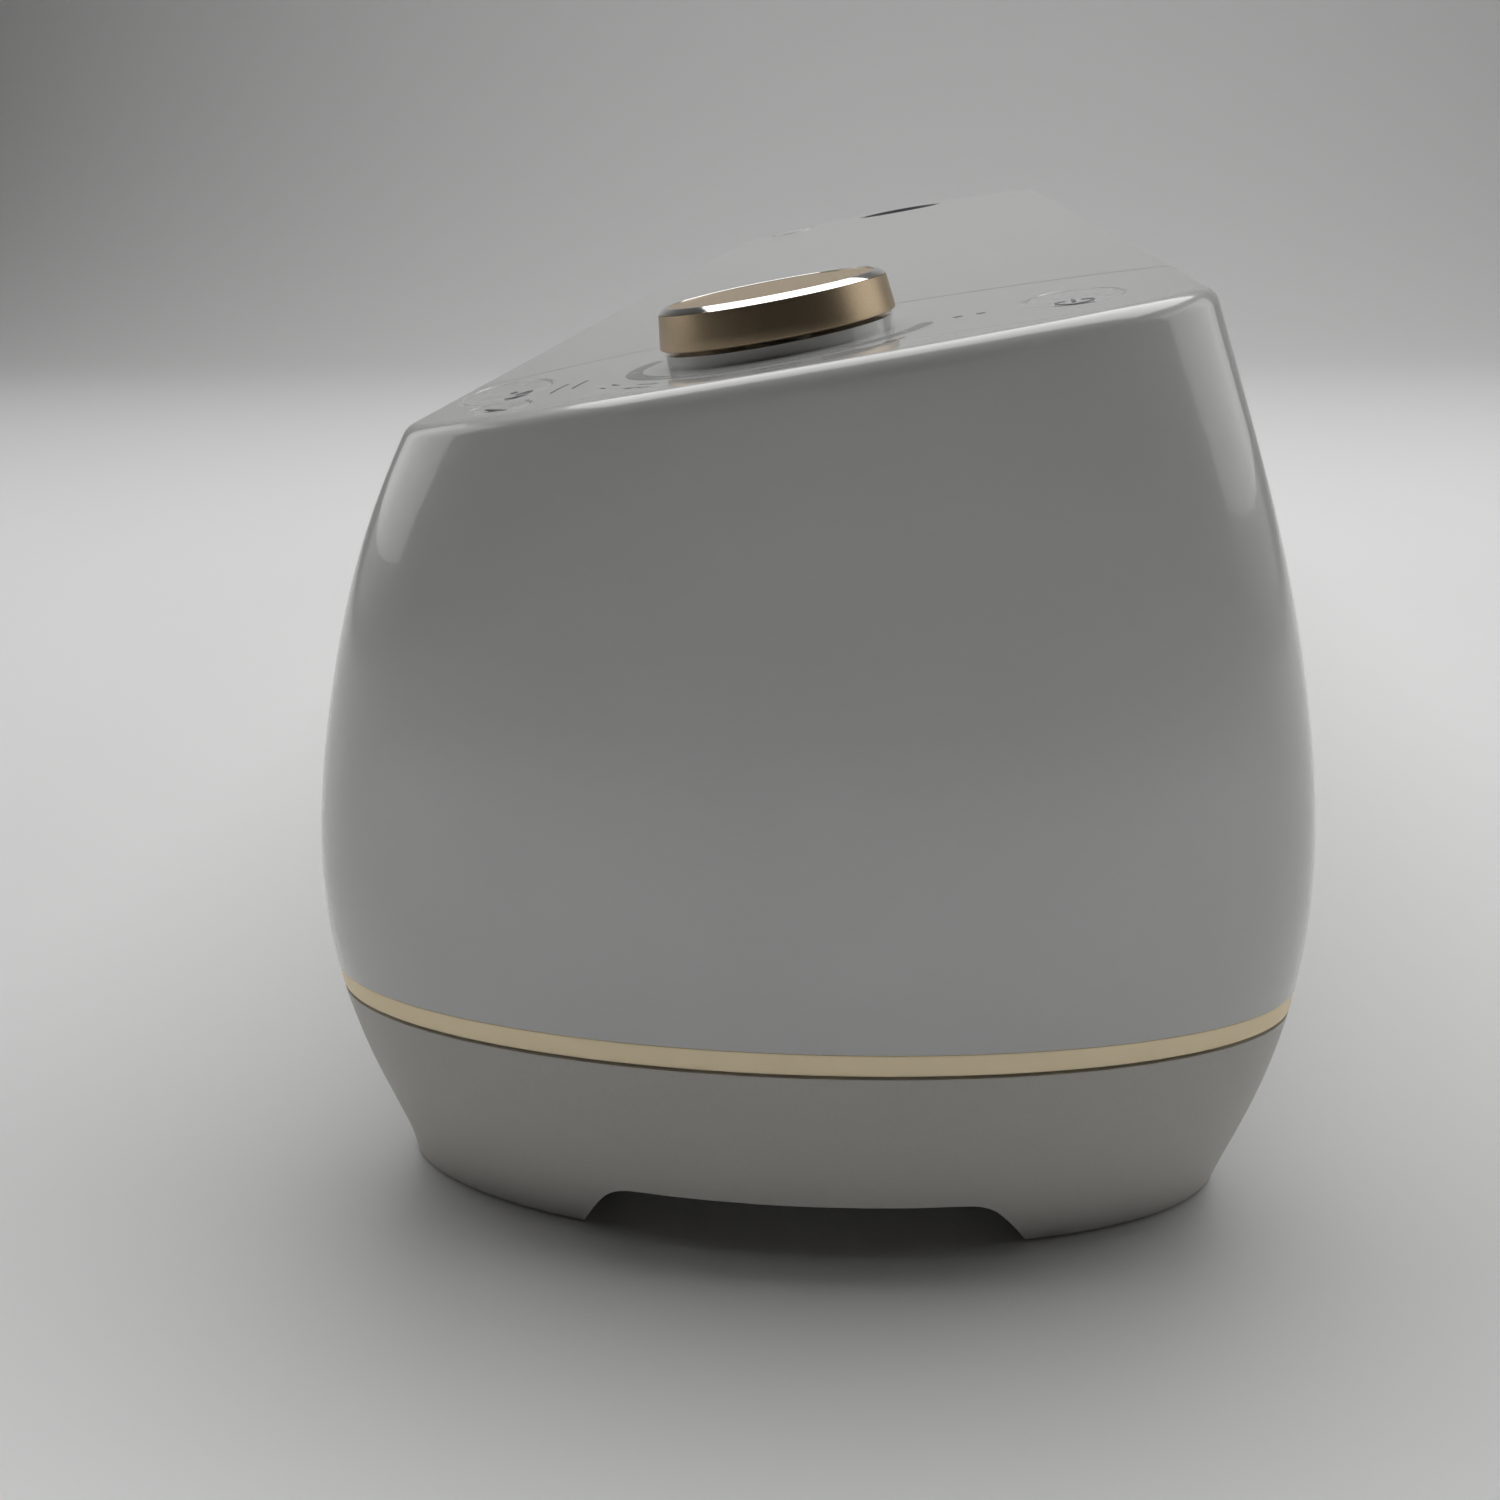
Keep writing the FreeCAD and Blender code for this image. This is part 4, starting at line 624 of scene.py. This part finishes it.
# strokes standing in for the printed labels: short dashes on two lines, each reading from the front
rng = np.random.default_rng(7)
dashes = []
for a, ws in ((-60, (3.4, 2.2)), (-40, (4.6, 5.8)), (-18, (6.2, 4.4)), (4, (7.0, 6.0)), (24, (6.4, 7.4)), (42, (4.0,))):
    for row, wl in enumerate(ws):
        r = 28.6 + 2.2 * row
        left = -wl / 2
        while left < wl / 2:
            w = float(rng.uniform(0.45, 1.25))
            a0 = a + math.degrees(left / r) * 1.0
            a1 = a + math.degrees(min(left + w, wl / 2) / r)
            hgt = 0.42 if rng.uniform() > 0.3 else 0.62
            dashes += ring_quads(DXP, DYP, r, r + hgt, a0, a1, 2)
            left += w + 0.32
decal("legend_dashes", dashes, M["print_grey"], "base", 0.02)
# paired curved strokes towards the front keys, indicator dots towards the power key
decal("chevrons", [ring_poly(DXP + 6, DYP, 37.0, 37.6, -103, -89, 12), ring_poly(DXP + 6, DYP, 33.4, 34.0, -103, -90, 12)], M["print_grey"], "base", 0.02)
decal("indicator_dots", [[(244.2 + 0.8 * math.cos(u), 25 + dy + 0.8 * math.sin(u)) for u in np.linspace(0, 2 * math.pi, 17)[:-1]] for dy in (0, 3.6)], M["print_grey"], "base", 0.02)


def key_surface(x0, y0, a, b, turn, dish):
    ct, st = math.cos(math.radians(turn)), math.sin(math.radians(turn))

    def f(x, y):
        u, w = (x - x0) * ct + (y - y0) * st, -(x - x0) * st + (y - y0) * ct
        q = min(math.hypot(u / a, w / b) / 0.965, 1.0)
        return float(top_at(x, y)) - dish * (1 - q * q) ** 1.15
    return f


ks = KEYS["load_button"]
decal("load_mark", [ring_poly(232.5, -50.5, 2.0, 2.6, -60, 200, 24), [(225.5, -53.8), (226.6, -53.2), (226.0, -52.2), (224.9, -52.8)]],
      M["print_grey"], "load_key_body", 0.03, 0.04, key_surface(*ks, 0.75))
ks = KEYS["go_button"]
decal("go_mark", [[(249.0, -51.6), (249.5, -52.1), (255.0, -47.5), (254.5, -47.0)]], M["print_grey"], "go_key_body", 0.03, 0.04, key_surface(*ks, 0.5))
ks = KEYS["power_button"]
decal("power_mark", [ring_poly(240.5, 43.5, 2.7, 3.2, -150, 150, 28), [(236.3, 43.2), (240.1, 43.2), (240.1, 43.8), (236.3, 43.8)]],
      M["print_grey"], "power_key_body", 0.03, 0.04, key_surface(*ks, 0.75))

# ------------------------------------------------------------------ studio

def plain(name, color, rough=0.6):
    m = bpy.data.materials.new(name)
    m.use_nodes = True
    b = m.node_tree.nodes["Principled BSDF"]
    b.inputs["Base Color"].default_value = (*color, 1)
    b.inputs["Roughness"].default_value = rough
    b.inputs["Specular IOR Level"].default_value = 0.2
    return m


def sweep_floor():
    """White sweep: flat floor that curves up behind the far end."""
    pts = [(4.0, 0.0), (1.2, 0.0), (0.2, 0.0), (-0.6, 0.0), (-0.95, 0.0)]
    for k in range(1, 13):
        a = math.radians(90 * k / 12)
        pts.append((-0.95 - 0.55 * math.sin(a), 0.55 * (1 - math.cos(a))))
    pts += [(-1.5, 1.2), (-1.5, 2.6)]
    ys = np.linspace(-2.4, 2.4, 7)
    v = [(x, y, z) for x, z in pts for y in ys]
    n = len(ys)
    f = [(i * n + j, i * n + j + 1, (i + 1) * n + j + 1, (i + 1) * n + j) for i in range(len(pts) - 1) for j in range(n - 1)]
    me = bpy.data.meshes.new("floor")
    me.from_pydata(v, [], f)
    me.update()
    for p in me.polygons:
        p.use_smooth = True
    o = bpy.data.objects.new("floor", me)
    bpy.context.scene.collection.objects.link(o)
    me.materials.append(plain("floor_paper", (0.80, 0.805, 0.80), 0.85))
    return o


floor = sweep_floor()


def area(name, loc, target, size, size_y, power, color=(1, 1, 1), spread=180):
    l = bpy.data.lights.new(name, "AREA")
    l.spread = math.radians(spread)
    l.shape = "RECTANGLE"
    l.size, l.size_y, l.energy, l.color = size, size_y, power, color
    o = bpy.data.objects.new(name, l)
    o.location = loc
    o.rotation_euler = (Vector(target) - Vector(loc)).to_track_quat("-Z", "Y").to_euler()
    bpy.context.scene.collection.objects.link(o)
    return o


area("top_light", (-0.26, 0.05, 0.95), (-0.26, 0.05, 0), 1.12, 1.3, 9.0)
area("left_light", (-0.20, -1.15, 0.55), (-0.05, 0, 0.1), 1.2, 0.8, 2.2)
area("right_light", (-0.20, 1.15, 0.55), (-0.05, 0, 0.1), 1.2, 0.8, 2.2)

area("near_light", (0.46, 0.0, 0.60), (0.46, 0.001, 0.0), 0.12, 1.0, 0.24, spread=32)

world = bpy.data.worlds.new("studio")
bpy.context.scene.world = world
world.use_nodes = True
wn = world.node_tree
wc = wn.nodes.new("ShaderNodeTexCoord")
ws = wn.nodes.new("ShaderNodeSeparateXYZ")
wr = wn.nodes.new("ShaderNodeValToRGB")
wr.color_ramp.elements[0].position, wr.color_ramp.elements[0].color = 0.30, (0.32, 0.32, 0.32, 1)
wr.color_ramp.elements[1].position, wr.color_ramp.elements[1].color = 0.66, (0.012, 0.011, 0.010, 1)
wm = wn.nodes.new("ShaderNodeMapRange")
wm.inputs["From Min"].default_value, wm.inputs["From Max"].default_value = -1, 1
wn.links.new(wc.outputs["Generated"], ws.inputs["Vector"])
wn.links.new(ws.outputs["X"], wm.inputs["Value"])
wn.links.new(wm.outputs["Result"], wr.inputs["Fac"])
wn.links.new(wr.outputs["Color"], wn.nodes["Background"].inputs["Color"])
wn.nodes["Background"].inputs["Strength"].default_value = 1.0

# ------------------------------------------------------------------ camera

cx, cy, cz, yaw, pitch, roll, fpx = 513.62, 21.49, 187.33, 0.11647, 0.35770, 0.02381, 1628.3
cyw, syw, cpt, spt = math.cos(yaw), math.sin(yaw), math.cos(pitch), math.sin(pitch)
fwd = np.array([-cyw * cpt, -syw * cpt, -spt])
rgt = np.array([-syw, cyw, 0.0])
dwn = np.cross(fwd, rgt)
r2 = math.cos(roll) * rgt + math.sin(roll) * dwn
d2 = -math.sin(roll) * rgt + math.cos(roll) * dwn
cam = bpy.data.cameras.new("camera")
cam.sensor_width = 36.0
cam.sensor_fit = "HORIZONTAL"
cam.lens = fpx / 1500 * 36.0
cam.clip_start, cam.clip_end = 0.005, 20
cam_ob = bpy.data.objects.new("camera", cam)
rot = Matrix([[r2[0], -d2[0], -fwd[0]], [r2[1], -d2[1], -fwd[1]], [r2[2], -d2[2], -fwd[2]]]).to_4x4()
cam_ob.matrix_world = Matrix.Translation(Vector((cx, cy, cz)) / 1000) @ rot
bpy.context.scene.collection.objects.link(cam_ob)
bpy.context.scene.camera = cam_ob

bpy.context.scene.view_settings.view_transform = "Standard"
bpy.context.scene.view_settings.look = "None"
